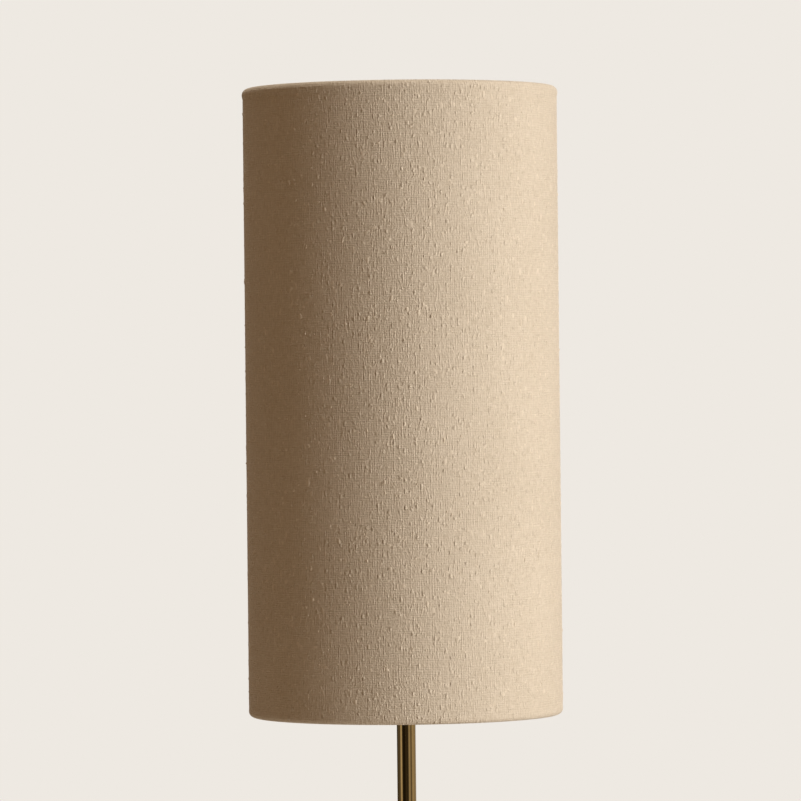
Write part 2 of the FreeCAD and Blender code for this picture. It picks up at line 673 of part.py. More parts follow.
def cord_gland():
    """The bush that lines the cord outlet."""
    rim = BASE_DIAMETER / 2
    flange = outlet_bore(GLAND_FLANGE_DIAMETER / 2, rim, rim + GLAND_FLANGE)
    outer_edge = [e for e in flange.Edges if e.BoundBox.YMin > rim + GLAND_FLANGE / 2]
    flange = flange.makeFillet(GLAND_EDGE, outer_edge)
    inner_end = WEIGHT_RADIUS - GLAND_BARREL + FIT
    gland = flange.fuse(outlet_bore(GLAND_BARREL_DIAMETER / 2, inner_end, rim)).removeSplitter()
    return gland.cut(outlet_bore(GLAND_BORE / 2, inner_end, rim + GLAND_FLANGE))


# Terminal block and wiring


def pole_places():
    """The X of the two poles of the terminal block."""
    return (-BLOCK_POLE_SPACING / 2, BLOCK_POLE_SPACING / 2)


def along_block(radius, x):
    """A cylinder along Y through a pole of the terminal block."""
    return Part.makeCylinder(radius, BLOCK_LENGTH, V(x, BLOCK_NEAR, POLE_Z), V(0, 1, 0))


def block_screw_places(x):
    """The axes of the two screws of a pole."""
    return [V(x, BLOCK_NEAR + BLOCK_SCREW_INSET, 0), V(x, BLOCK_FAR - BLOCK_SCREW_INSET, 0)]


def block_screw(place, gap=0.0):
    """A screw of the block, from its underside to the wire in the pole, or the hole for it."""
    start, end = BLOCK_BOTTOM, POLE_Z - CORE_WIRE_DIAMETER / 2 - RUNNING
    return Part.makeCylinder(BLOCK_SCREW_DIAMETER / 2 + gap, end - start, place + UP * start)


def fixing_screw(gap=0.0):
    """The screw that holds the block to the weight, or the hole for it."""
    place = V(0, BLOCK_DISTANCE, BLOCK_BOTTOM)
    head = Part.makeCylinder(FIXING_HEAD_DIAMETER / 2 + gap, FIXING_HEAD, place)
    return head.fuse(Part.makeCylinder(FIXING_DIAMETER / 2 + gap, BLOCK_HEIGHT + FIXING_IN_WEIGHT, place))


def terminal_block():
    """The two-pole block, against the roof of its pocket."""
    half = BLOCK_WIDTH / 2
    block = box(V(-half, BLOCK_NEAR, BLOCK_BOTTOM), V(half, BLOCK_FAR, BLOCK_TOP)).cut(fixing_screw(FIT))
    for x in pole_places():
        block = block.cut(along_block(BLOCK_SLEEVE_DIAMETER / 2 + RUNNING, x))
        for place in block_screw_places(x):
            block = block.cut(block_screw(place, FIT))
    return block


def terminal_sleeves():
    """The brass sleeves in the block, each with two screw holes on its underside."""
    sleeves = []
    for x in pole_places():
        sleeve = along_block(BLOCK_SLEEVE_DIAMETER / 2, x).cut(along_block(BLOCK_SLEEVE_BORE / 2, x))
        for place in block_screw_places(x):
            sleeve = sleeve.cut(block_screw(place, RUNNING))
        sleeves.append(sleeve)
    return sleeves


def terminal_block_screws():
    """The screws of the block."""
    return [block_screw(place) for x in pole_places() for place in block_screw_places(x)]


def core_wire():
    """The insulated wire on the right, from the block along the channel and up the stem to its screw."""
    x, pole = CORE_WIRE_SPACING / 2, BLOCK_POLE_SPACING / 2
    leave = BLOCK_NEAR - CORE_WIRE_BEND
    terminal_x = CORE_RADIUS - TERMINAL_POCKET_DEPTH + CORE_WIRE_DIAMETER / 2 + RUNNING
    points = [
        V(pole, BLOCK_NEAR + CORE_WIRE_IN_BLOCK, POLE_Z),
        V(pole, leave, POLE_Z),
        V(x, (leave + CORE_WIRE_BEND) / 2, CORE_WIRE_Z),
        V(x, 0, CORE_WIRE_Z),
        V(x, 0, HOLDER_ROD_TOP + CORE_WIRE_SPREAD),
        V(terminal_x, 0, CORE_BOTTOM - CORE_WIRE_SPREAD),
        V(terminal_x, 0, TERMINAL_Z - TERMINAL_HEAD_DIAMETER / 2 - FIT),
    ]
    radii = [CORE_WIRE_BEND] * 3 + [CORE_WIRE_TIGHT_BEND] * 2
    return wire_along(bent_path(points, radii), CORE_WIRE_DIAMETER / 2)


# Lampholder


def holder_cap():
    """The brass cap: a threaded neck, a bowl and a straight skirt that takes the shell."""
    neck, inner = HOLDER_HUB_DIAMETER / 2, BOWL_RADIUS - HOLDER_SHEET
    centre = (neck, BOWL_TOP)
    cap = turned(
        (THREAD_HOLE, HOLDER_BOTTOM),
        (neck, HOLDER_BOTTOM),
        (neck, HOLDER_BOTTOM + HOLDER_HUB),
        on_arc(centre, BOWL_RADIUS, -90, 0),
        (neck + BOWL_RADIUS, CAP_TOP),
        (neck + inner, CAP_TOP),
        (neck + inner, BOWL_TOP),
        on_arc(centre, inner, 0, -90),
        (THREAD_HOLE, HOLDER_ROD_TOP),
    )
    return cap.cut(set_screw_hole(SET_SCREW_DIAMETER / 2 + RUNNING))


def set_screw_hole(radius):
    """A cylinder through the back of the cap's neck, to the rod inside."""
    start = THREAD_DIAMETER / 2 + RUNNING
    height = HOLDER_BOTTOM + HOLDER_HUB / 2
    return Part.makeCylinder(radius, HOLDER_HUB_DIAMETER / 2 - start, V(0, start, height), V(0, 1, 0))


def spindle_hole(radius, start, end):
    """A cylinder along -Y on the spindle's axis, between two distances from the lamp's axis."""
    return Part.makeCylinder(radius, end - start, V(0, -start, SPINDLE_Z), V(0, -1, 0))


def holder_shell():
    """The brass shell, with a bead at its mouth and a hole for the spindle."""
    outer, inner = SHELL_RADIUS, SHELL_RADIUS - HOLDER_SHELL_WALL
    bead = HOLDER_BEAD
    shell = turned(
        (inner, SHELL_BOTTOM),
        (outer, SHELL_BOTTOM),
        (outer, SHELL_TOP - 2 * bead),
        on_arc((outer, SHELL_TOP - bead), bead, -90, 90),
        (inner, SHELL_TOP),
    )
    return shell.cut(spindle_hole(SPINDLE_DIAMETER / 2 + SPINDLE_HOLE_CLEARANCE, 0, outer + bead))


def holder_sleeve():
    """The card sleeve that insulates the shell."""
    tube = rod(SLEEVE_OUTER, SHELL_BOTTOM, SHELL_TOP - HOLDER_BEAD, SLEEVE_OUTER - HOLDER_SLEEVE_WALL)
    return tube.cut(spindle_hole(SPINDLE_DIAMETER / 2 + SPINDLE_HOLE_CLEARANCE, 0, SHELL_RADIUS))


def along_terminal(radius, start, end):
    """A cylinder along +X on the axis of the right-hand terminal screw."""
    return Part.makeCylinder(radius, end - start, V(start, 0, TERMINAL_Z), V(1, 0, 0))


def terminal_screw():
    """The terminal screw on the right of the core: a flat head and its shank."""
    floor = CORE_RADIUS - TERMINAL_POCKET_DEPTH
    head_end = floor + CORE_WIRE_DIAMETER + 2 * RUNNING
    head = along_terminal(TERMINAL_HEAD_DIAMETER / 2, head_end - TERMINAL_HEAD, head_end)
    shank = along_terminal(TERMINAL_SHANK_DIAMETER / 2, floor - TERMINAL_SHANK, head_end)
    return head.fuse(shank).removeSplitter()


def holder_core():
    """The moulded core: pockets for the terminals at its sides, and a bore for the spindle at the front."""
    core = rod(CORE_RADIUS, CORE_BOTTOM, CORE_TOP)
    spindle_end = CORE_RADIUS - SPINDLE_IN_CORE - FIT
    core = core.cut(spindle_hole(SPINDLE_DIAMETER / 2 + RUNNING, spindle_end, CORE_RADIUS))
    floor, half = CORE_RADIUS - TERMINAL_POCKET_DEPTH, TERMINAL_POCKET_WIDTH / 2
    pocket = box(V(floor, -half, CORE_BOTTOM), V(CORE_RADIUS, half, CORE_BOTTOM + TERMINAL_POCKET_HEIGHT))
    hole = along_terminal(TERMINAL_SHANK_DIAMETER / 2 + RUNNING, floor - TERMINAL_SHANK - FIT, floor)
    for cut in mirrored(pocket.fuse(hole)):
        core = core.cut(cut)
    return core


def ridges(root, depth, foot, up=True):
    """The arcs of a lamp thread, drawn as rounded rings, from the foot upwards or back down to it."""
    marks = range(LAMP_THREADS) if up else range(LAMP_THREADS - 1, -1, -1)
    arcs = []
    for i in marks:
        low = foot + LAMP_THREAD_PITCH * i
        middle, end = low + LAMP_THREAD_PITCH / 2, low + LAMP_THREAD_PITCH * (1 if up else 0)
        arcs.append(((root + depth, middle), (root, end)))
    return arcs


def screw_shell():
    """The threaded sleeve that the lamp screws into, on a flat foot riveted to the core."""
    bore, wall = SCREW_SHELL_BORE / 2, SCREW_SHELL_WALL
    foot, eye = CORE_TOP + wall, CONTACT_DIAMETER / 2 + CONTACT_ROOM
    return turned(
        (eye, CORE_TOP),
        (bore + wall, CORE_TOP),
        (bore + wall, foot),
        *ridges(bore + wall, LAMP_THREAD_DEPTH, foot),
        (bore, foot + LAMP_THREAD_PITCH * LAMP_THREADS),
        *ridges(bore, LAMP_THREAD_DEPTH, foot, up=False),
        (eye, foot),
    )


def centre_contact():
    """The spring contact in the floor of the holder."""
    outer, rise = CONTACT_DIAMETER / 2, CONTACT_HEIGHT / 2
    dome = (outer**2 + rise**2) / (2 * rise)
    centre = (0, CORE_TOP + CONTACT_HEIGHT - dome)
    edge = math.degrees(math.acos(outer / dome))
    return turned(
        (0, CORE_TOP),
        (outer, CORE_TOP),
        (outer, CORE_TOP + CONTACT_HEIGHT - rise),
        on_arc(centre, dome, edge, 90),
    )


def switch_spindle():
    """The spindle of the rotary switch."""
    start = CORE_RADIUS - SPINDLE_IN_CORE
    end = SHELL_RADIUS + KNOB_GAP + SPINDLE_IN_KNOB
    return spindle_hole(SPINDLE_DIAMETER / 2, start, end)


def switch_knob():
    """The turn knob: a round collar and a flat wing with round ends."""
    near = SHELL_RADIUS + KNOB_GAP
    far = near + KNOB_LENGTH
    wing = spindle_hole(KNOB_DIAMETER / 2, near + KNOB_COLLAR, far)
    half = KNOB_THICKNESS / 2
    low = V(-KNOB_DIAMETER, -far, SPINDLE_Z - half)
    knob = wing.common(box(low, V(KNOB_DIAMETER, -near - KNOB_COLLAR, SPINDLE_Z + half)))
    knob = knob.makeFillet(KNOB_EDGE, knob.Edges)
    knob = knob.fuse(spindle_hole(KNOB_COLLAR_DIAMETER / 2, near, near + KNOB_COLLAR + half))
    return knob.cut(spindle_hole(SPINDLE_DIAMETER / 2 + RUNNING, near, near + SPINDLE_IN_KNOB + FIT))


# Lamp


def bulb_envelope():
    """The opal glass: a round head that runs down into the neck, which stands on the rim of the cap."""
    neck, head = BULB_NECK_DIAMETER / 2, BULB_DIAMETER / 2
    foot, centre = BULB_BOTTOM + BULB_CAP_LENGTH, BULB_BOTTOM + BULB_LENGTH - head
    angle = BULB_SHOULDER_ANGLE
    shoulder = on_arc((0, centre), head, angle, angle)[1]
    inside = on_arc((0, centre), head - BULB_WALL, angle, angle)[1]
    return turned(
        (neck - BULB_WALL, foot),
        (neck, foot),
        bowed((neck, foot), shoulder, BULB_NECK_SAG),
        on_arc((0, centre), head, angle, 90),
        (0, centre + head - BULB_WALL),
        on_arc((0, centre), head - BULB_WALL, 90, angle),
        bowed(inside, (neck - BULB_WALL, foot), -BULB_NECK_SAG),
    )


def bulb_cap():
    """The metal screw cap of the lamp, open at the top and closed by the insulator below."""
    root, wall = BULB_CAP_DIAMETER / 2 - LAMP_THREAD_DEPTH, BULB_CAP_WALL
    foot = BULB_BOTTOM + BULB_TIP + BULB_INSULATOR
    top = BULB_BOTTOM + BULB_CAP_LENGTH
    threads_start = top - LAMP_THREAD_PITCH * LAMP_THREADS
    return turned(
        (BULB_INSULATOR_DIAMETER / 2 - wall, foot),
        (BULB_INSULATOR_DIAMETER / 2, foot),
        (root, threads_start),
        *ridges(root, LAMP_THREAD_DEPTH, threads_start),
        (root - wall, top),
        *ridges(root - wall, LAMP_THREAD_DEPTH, threads_start, up=False),
    )


def bulb_insulator():
    """The dark glass cone between the cap and the tip."""
    outer = BULB_INSULATOR_DIAMETER / 2
    low = BULB_BOTTOM + BULB_TIP
    return turned(
        (0, low),
        (BULB_TIP_DIAMETER / 2, low),
        (outer - BULB_CAP_WALL, low + BULB_INSULATOR),
        (0, low + BULB_INSULATOR),
    )


def bulb_tip():
    """The lamp's centre contact."""
    outer, flat = BULB_TIP_DIAMETER / 2, BULB_TIP_FLAT / 2
    return turned(
        (0, BULB_BOTTOM),
        (flat, BULB_BOTTOM),
        bowed((flat, BULB_BOTTOM), (outer, BULB_BOTTOM + BULB_TIP), -BULB_TIP_BULGE),
        (0, BULB_BOTTOM + BULB_TIP),
    )


def pieces():
    """Every node of the lamp by name: one solid each, or a list where like pieces share a node."""
    right_sleeve, left_sleeve = mirrored(harp_sleeve())
    live_wire, neutral_wire = mirrored(core_wire())
    live_screw, neutral_screw = mirrored(terminal_screw())
    return {
        "shade_fabric": shade_fabric(),
        "shade_liner": shade_liner(),
        "shade_bottom_ring": shade_ring(BOTTOM_RING_Z),
        "shade_spider": shade_spider(),
        "finial": finial(),
        "harp": harp(),
        "harp_stud": harp_stud(),
        "harp_saddle": harp_saddle(),
        "harp_sleeve_left": left_sleeve,
        "harp_sleeve_right": right_sleeve,
        "stem_top_cap": stem_cap(),
        "upper_stem": stem_tube(STEM_JOINT, STEM_TOP),
        "upper_stem_top_plug": stem_plug(STEM_TOP - PLUG_LENGTH),
        "upper_stem_bottom_plug": stem_plug(STEM_JOINT),
        "stem_joint_rod": hollow_rod(STEM_JOINT - ROD_IN_PLUG, STEM_JOINT + ROD_IN_PLUG),
        "lower_stem": stem_tube(STEM_BOTTOM, STEM_JOINT),
        "lower_stem_top_plug": stem_plug(STEM_JOINT - PLUG_LENGTH),
        "lower_stem_bottom_plug": stem_plug(STEM_BOTTOM),
        "stem_foot_collar": stem_collar(),
        "base_rod": hollow_rod(ROD_BOTTOM, STEM_BOTTOM + ROD_IN_PLUG),
        "base_cover": base_cover(),
        "base_weight": base_weight(),
        "base_washer": base_washer(),
        "base_nut": base_nut(),
        "base_plate": base_plate(),
        "base_plate_screws": plate_screws(),
        "base_pad": base_pad(),
        "cord_gland": cord_gland(),
        "terminal_block": terminal_block(),
        "terminal_block_sleeves": terminal_sleeves(),
        "terminal_block_screws": terminal_block_screws(),
        "terminal_block_fixing_screw": fixing_screw(),
        "live_wire": live_wire,
        "neutral_wire": neutral_wire,
        "holder_rod": hollow_rod(STEM_TOP - ROD_IN_PLUG, HOLDER_ROD_TOP),
        "holder_cap": holder_cap(),
        "holder_set_screw": set_screw_hole(SET_SCREW_DIAMETER / 2),
        "holder_shell": holder_shell(),
        "holder_insulating_sleeve": holder_sleeve(),
        "holder_core": holder_core(),
        "holder_screw_shell": screw_shell(),
        "holder_centre_contact": centre_contact(),
        "holder_live_screw": live_screw,
        "holder_neutral_screw": neutral_screw,
        "switch_spindle": switch_spindle(),
        "switch_knob": switch_knob(),
        "bulb_envelope": bulb_envelope(),
        "bulb_cap": bulb_cap(),
        "bulb_insulator": bulb_insulator(),
        "bulb_contact": bulb_tip(),
    }


def main():
    os.makedirs("parts", exist_ok=True)
    for name, shape in pieces().items():
        whole = Part.makeCompound(shape) if isinstance(shape, list) else shape
        if not whole.isValid() or min(solid.Volume for solid in whole.Solids) <= 0:
            raise RuntimeError(f"{name} has a faulty solid")
        whole.exportStep(f"parts/{name}.step")
        print(f"{name:28s} {len(whole.Solids)} solid(s) {whole.Volume / 1000:9.2f} cm3")


main()
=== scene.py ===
"""Looks of the column floor lamp: a tall drum shade of slub linen on a slim brass stem and a brass base.

Metres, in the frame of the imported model: +Z is up, the floor is z = 0 and -Y is the front. The camera is
level with the middle of the shade, and sees the shade and the top of the stem.
"""

import json
import math

import bmesh
import bpy
import numpy as np
from bpy.props import FloatProperty, FloatVectorProperty, IntProperty, PointerProperty
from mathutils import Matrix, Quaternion, Vector


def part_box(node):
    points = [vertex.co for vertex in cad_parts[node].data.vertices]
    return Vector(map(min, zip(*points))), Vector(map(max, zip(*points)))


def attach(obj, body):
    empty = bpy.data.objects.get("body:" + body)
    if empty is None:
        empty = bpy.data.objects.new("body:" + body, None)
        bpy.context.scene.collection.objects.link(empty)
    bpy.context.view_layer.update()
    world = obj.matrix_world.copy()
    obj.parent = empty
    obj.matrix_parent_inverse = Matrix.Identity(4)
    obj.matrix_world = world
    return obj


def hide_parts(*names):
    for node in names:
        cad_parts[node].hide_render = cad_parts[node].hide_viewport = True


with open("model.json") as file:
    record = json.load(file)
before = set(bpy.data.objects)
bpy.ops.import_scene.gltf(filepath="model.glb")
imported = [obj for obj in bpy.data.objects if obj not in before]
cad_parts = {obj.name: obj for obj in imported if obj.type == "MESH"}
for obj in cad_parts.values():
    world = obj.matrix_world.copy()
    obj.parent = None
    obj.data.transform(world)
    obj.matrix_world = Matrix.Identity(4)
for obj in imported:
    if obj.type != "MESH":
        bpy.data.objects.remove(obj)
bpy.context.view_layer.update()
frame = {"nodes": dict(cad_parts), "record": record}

bl_info = {
    "name": "Column floor lamp",
    "version": (1, 0, 0),
    "blender": (4, 5, 0),
    "location": "3D View > Sidebar > Lamp",
    "description": "Dresses a column floor lamp: slub linen shade, brass stem and base, harp, lampholder",
    "category": "Object",
}

MM = 0.001


def linear(code):
    """An sRGB hex colour as linear red, green and blue."""
    values = [int(code[i : i + 2], 16) / 255 for i in (1, 3, 5)]
    return tuple(v / 12.92 if v <= 0.04045 else ((v + 0.055) / 1.055) ** 2.4 for v in values)


def opaque(colour):
    """A colour with an alpha of 1, as node sockets take it."""
    return (*tuple(colour)[:3], 1.0)


# Sizes read from the frame, and those of its source that the scene repeats

SHADE_LOW, SHADE_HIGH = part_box("shade_fabric")
RING_LOW, RING_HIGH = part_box("shade_bottom_ring")
TOP_BEAD = 0.9 * MM  # how far the rolled top edge stands out past the wall
BOTTOM_BEAD = 0.2 * MM
BEAD_TAPER = 6.0 * MM
HEM_RETURN = 1.8 * MM
CLOTH = 1.0 * MM
FIT = 0.1 * MM

SHADE_RADIUS = SHADE_HIGH.x - TOP_BEAD
SHADE_BOTTOM, SHADE_TOP = SHADE_LOW.z, SHADE_HIGH.z
RING_WIRE = RING_HIGH.z - RING_LOW.z
HEM_INNER = RING_HIGH.x - 2 * RING_WIRE - FIT - CLOTH
TOP_ROLL = (SHADE_RADIUS + TOP_BEAD - HEM_INNER) / 2
BOTTOM_ROLL = (SHADE_RADIUS + BOTTOM_BEAD - HEM_INNER) / 2
TOP_RING_Z = SHADE_TOP - TOP_ROLL
BOTTOM_RING_Z = SHADE_BOTTOM + BOTTOM_ROLL

STUD_LOW, STUD_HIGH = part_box("harp_stud")
STUD_RADIUS = 3.1 * MM
STUD_THREAD = 11.6 * MM  # length of its threaded part, which stands on the flange
STUD_FLANGE = 2.95 * MM
STUD_SHANK = 2.05 * MM  # radius
STUD_RIVET, STUD_RIVET_RADIUS = 1.4 * MM, 3.6 * MM

FINIAL_LOW, FINIAL_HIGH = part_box("finial")
FINIAL_FOOT, FINIAL_NECK, FINIAL_BALL = 7.0 * MM, 4.5 * MM, 7.5 * MM  # radii
FINIAL_EDGE = 1.25 * MM
FINIAL_BORE, FINIAL_BORE_DEPTH = 3.15 * MM, 11.5 * MM

SCREW_LOW, SCREW_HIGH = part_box("base_plate_screws")
SCREW_CIRCLE = 84.0 * MM
SCREW_HEAD, SCREW_HEAD_RADIUS = 1.5 * MM, 3.5 * MM
SCREW_SHANK = 1.75 * MM  # radius

KNOB_LOW, KNOB_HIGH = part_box("switch_knob")
KNOB_COLLAR = 3.0 * MM
KNOB_THICKNESS = 5.6 * MM

RIPPLE_SIZE = 80.0 * MM  # how far apart the cloth's ripples are
ROLL_STEPS = 14  # faces round each rolled hem
TAPER_STEPS = 6  # faces in the taper between a hem and the wall
INSIDE_ROWS = 8
SEAM_THICKNESS = 0.6 * MM
SEAM_SUNK = 0.3 * MM  # how far its underside is in the cloth
ROWS_TO_A_PITCH = 8  # rows of faces to each turn of a thread
WELD = 1e-6  # points closer than this become one

# The linen: how much each layer of the weave adds to its relief and to its colour
RELIEF_SHARES = {
    "upright": 0.32, "across": 0.34, "short": 0.62, "middling": 0.42, "long": 0.2, "weft": 0.5, "thick": 0.6,
    "nub": 1.75,
}
# The colour is lighter on raised yarn and darker in the weave's hollows, which is painted shade. The cloud
# layer gives the yarn's own uneven tone.
COLOUR_AND_SHADE_SHARES = {"upright": 0.3, "across": 0.25, "short": 0.15, "middling": 0.35, "weft": 0.3, "cloud": 0.2}
NUB_CELL = 5.2, 8.4  # millimetres round and up the shade, to each nub
NUB_RAGGED = 0.26  # how ragged the rims of the nubs are, as a share of a cell
NUB_FEW = 1.8  # the higher, the fewer of the nubs are large
NUB_REACH = 0.32, 0.07  # how far the nubs reach in their cells: what the largest adds, and the least
THREAD_WANDER = 9.0  # how far the threads wander, in radians of their spacing
MATT_YARN = {"Roughness": 0.92, "Specular IOR Level": 0.15, "Sheen Weight": 0.12, "Sheen Roughness": 0.5}

# The stage
SENSOR = 36.0  # millimetres wide
KEY_AWAY, KEY_SIDE, KEY_HEIGHT = 3.0, math.radians(62), 1.45
FLOOR_FADE = 0.3, 1.7  # from where to where the floor runs into the backdrop
FLOOR_DIM = 1.2, 0.12  # from where it dims in a mirror, and to what share at its rim

WEAVE_MAP = "weave"  # the cloth's UV map: round the shade, and along the cloth from hem to hem
SLOTS = {part["node"]: part["material_slot"] for part in frame["record"]["subparts"]}


class LampShadeSettings(bpy.types.PropertyGroup):
    """The linen of the shade."""

    # Flax is the lighter end of the linen's colour. Shive is the darker end, which also falls in the weave's
    # hollows as painted shade.
    flax: FloatVectorProperty(
        name="Flax", description="Colour of the linen's threads", subtype="COLOR", default=linear("#DDD1BE")
    )
    shive: FloatVectorProperty(
        name="Shive", description="Colour of the darker fibres", subtype="COLOR", default=linear("#C9BCA7")
    )
    slub: FloatVectorProperty(
        name="Slub", description="Colour of the thick places", subtype="COLOR", default=linear("#E2D5C0")
    )
    warp: FloatProperty(
        name="Warp spacing", description="Between upright threads", subtype="DISTANCE", default=2.3 * MM
    )
    weft: FloatProperty(
        name="Weft spacing", description="Between level threads", subtype="DISTANCE", default=2.1 * MM
    )
    relief: FloatProperty(
        name="Relief", description="Height of the weave", subtype="DISTANCE", default=0.5 * MM
    )
    columns: IntProperty(name="Columns", description="Faces round the shade", default=400, min=64)
    rows: IntProperty(name="Rows", description="Faces up its wall", default=72, min=8)
    ripple: FloatProperty(
        name="Ripple", description="How far the taut cloth wanders", subtype="DISTANCE", default=0.25 * MM
    )
    slubs: FloatProperty(name="Slubs", description="Slubs to a square metre", default=8000.0, min=0.0)
    seam: FloatProperty(
        name="Seam", description="Width of the glued overlap at the back", subtype="DISTANCE", default=14 * MM
    )


class LampBrassSettings(bpy.types.PropertyGroup):
    """The brass of the stem, the base and the fittings."""

    metal: FloatVectorProperty(
        name="Brass", description="Colour of the polished metal", subtype="COLOR", default=linear("#E4BF7F")
    )
    tarnish: FloatVectorProperty(
        name="Tarnish", description="Colour of its aged places", subtype="COLOR", default=linear("#9C7440")
    )
    age: FloatProperty(
        name="Age", description="Share of the metal that has dulled", default=0.35, min=0.0, max=1.0
    )


class LampFittingSettings(bpy.types.PropertyGroup):
    """Threads, knurls and ridges of the small fittings."""

    stud_pitch: FloatProperty(
        name="Stud pitch", description="Pitch of the finial's thread", subtype="DISTANCE", default=0.94 * MM
    )
    screw_pitch: FloatProperty(
        name="Screw pitch", description="Pitch of the plate's screws", subtype="DISTANCE", default=0.8 * MM
    )
    screws: IntProperty(name="Plate screws", description="Screws under the base", default=3, min=1)
    knurls: IntProperty(name="Knurls", description="Flutes round the foot of the finial", default=30, min=3)
    ridges: IntProperty(name="Ridges", description="Ridges on each face of the switch knob", default=5, min=1)


class LampStageSettings(bpy.types.PropertyGroup):
    """The camera, the light and the floor."""

    eye: FloatVectorProperty(
        name="Eye", description="Place of the camera", subtype="TRANSLATION", default=(-0.0021, -5.10, 1.2255)
    )
    lens: FloatProperty(name="Lens", description="Focal length in millimetres", default=239.6)
    tilt: FloatProperty(
        name="Tilt", description="How far the camera looks up or down", subtype="ANGLE", default=-0.0048
    )
    roll: FloatProperty(
        name="Roll", description="Turn of the camera about its view", subtype="ANGLE", default=-0.0106
    )
    backdrop: FloatVectorProperty(
        name="Backdrop", description="Colour behind the lamp", subtype="COLOR", default=linear("#EEE9E2")
    )
    floor: FloatVectorProperty(
        name="Floor", description="Colour of the floor", subtype="COLOR", default=linear("#CFC8BE")
    )
    lift: FloatVectorProperty(
        name="Lift", description="What the floor near the lamp adds to its own light", subtype="COLOR",
        default=(0.36, 0.38, 0.39),
    )
    key: FloatVectorProperty(
        name="Key", description="Colour of the softbox", subtype="COLOR", default=(1.0, 0.985, 0.97)
    )
    key_power: FloatProperty(name="Key power", description="Softbox power", subtype="POWER", default=97.0)
    back_power: FloatProperty(
        name="Back power", description="Power of the softbox behind the lamp", subtype="POWER", default=60.0
    )
    top_power: FloatProperty(
        name="Top power", description="Overhead light power", subtype="POWER", default=18.0
    )
    fill: FloatVectorProperty(
        name="Fill", description="Colour of the soft light", subtype="COLOR", default=(0.168, 0.095, 0.041)
    )
    floor_radius: FloatProperty(name="Floor radius", description="Radius", subtype="DISTANCE", default=4.5)


# Making meshes and node trees


def set_inputs(tree, node, inputs):
    """Sets a node's inputs. Each takes a value, or a link to a socket or to a node's first output. An input
    with several links takes a list."""
    for place, values in inputs.items():
        for value in values if isinstance(values, list) else [values]:
            if isinstance(value, bpy.types.Node):
                value = value.outputs[0]
            if isinstance(value, bpy.types.NodeSocket):
                tree.links.new(value, node.inputs[place])
            else:
                node.inputs[place].default_value = value


def add(tree, kind, inputs=None, **settings):
    """Adds a node with these settings and inputs."""
    node = tree.nodes.new(kind)
    for name, value in settings.items():
        setattr(node, name, value)
    set_inputs(tree, node, inputs or {})
    return node


def new_material(name):
    """An empty material, its node tree and its shader."""
    material = bpy.data.materials.new(name)
    material.use_nodes = True
    tree = material.node_tree
    tree.nodes.clear()
    shader = add(tree, "ShaderNodeBsdfPrincipled")
    add(tree, "ShaderNodeOutputMaterial", {"Surface": shader})
    return material, tree, shader


def new_geometry_tree(name, inputs):
    """A geometry tree that takes a geometry, these named values and a material, and its group input."""
    tree = bpy.data.node_groups.new(name, "GeometryNodeTree")
    kinds = {int: "Int", float: "Float", tuple: "Vector"}
    tree.interface.new_socket(name="Geometry", in_out="INPUT", socket_type="NodeSocketGeometry")
    for label, value in inputs.items():
        kind = "NodeSocket" + kinds[type(value)]
        tree.interface.new_socket(name=label, in_out="INPUT", socket_type=kind).default_value = value
    tree.interface.new_socket(name="Material", in_out="INPUT", socket_type="NodeSocketMaterial")
    tree.interface.new_socket(name="Geometry", in_out="OUTPUT", socket_type="NodeSocketGeometry")
    return tree, add(tree, "NodeGroupInput")


def end_geometry_tree(tree, given, geometry):
    """Ends a geometry tree in real geometry, in the material that it is given."""
    real = add(tree, "GeometryNodeRealizeInstances", {0: geometry})
    dressed = add(tree, "GeometryNodeSetMaterial", {0: real, "Material": given.outputs["Material"]})
    add(tree, "NodeGroupOutput", {0: dressed})
    return tree


def run_tree(thing, tree, **values):
    """Gives an object the plain mesh that a geometry tree makes of it."""
    modifier = thing.modifiers.new(tree.name, "NODES")
    modifier.node_group = tree
    places = {item.name: item.identifier for item in tree.interface.items_tree if item.in_out == "INPUT"}
    for label, value in values.items():
        modifier[places[label.replace("_", " ")]] = value
    bpy.context.view_layer.update()
    made = bpy.data.meshes.new_from_object(thing.evaluated_get(bpy.context.evaluated_depsgraph_get()))
    thing.modifiers.clear()
    thing.data = made
    made.name = thing.name
    for place in reversed(range(len(made.materials))):
        if made.materials[place] is None:  # a grid, a sphere or a line brings an empty slot of its own
            made.materials.pop(index=place)
    return thing


def into_scene(name, data):
    """A new object in the scene with this data."""
    thing = bpy.data.objects.new(name, data)
    bpy.context.scene.collection.objects.link(thing)
    return thing


def place_mesh(name, points, faces=()):
    """A new object in the scene with a mesh of these points and faces."""
    mesh = bpy.data.meshes.new(name)
    mesh.from_pydata([tuple(p) for p in points], [], list(faces))
    return into_scene(name, mesh)


def finish_piece(thing, body, crease=35.0):
    """Smooths a piece up to its creases, and lets it ride on its body."""
    thing.data.shade_smooth()
    thing.data.set_sharp_from_angle(angle=math.radians(crease))
    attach(thing, body)
    return thing


def arc(centre, radius, start, end, steps):
    """Points of an arc in the (r, z) plane, ends included. Degrees, from +r towards +z."""
    turns = np.radians(np.linspace(start, end, steps + 1))
    return [(centre[0] + radius * math.cos(t), centre[1] + radius * math.sin(t)) for t in turns]


# Geometry trees


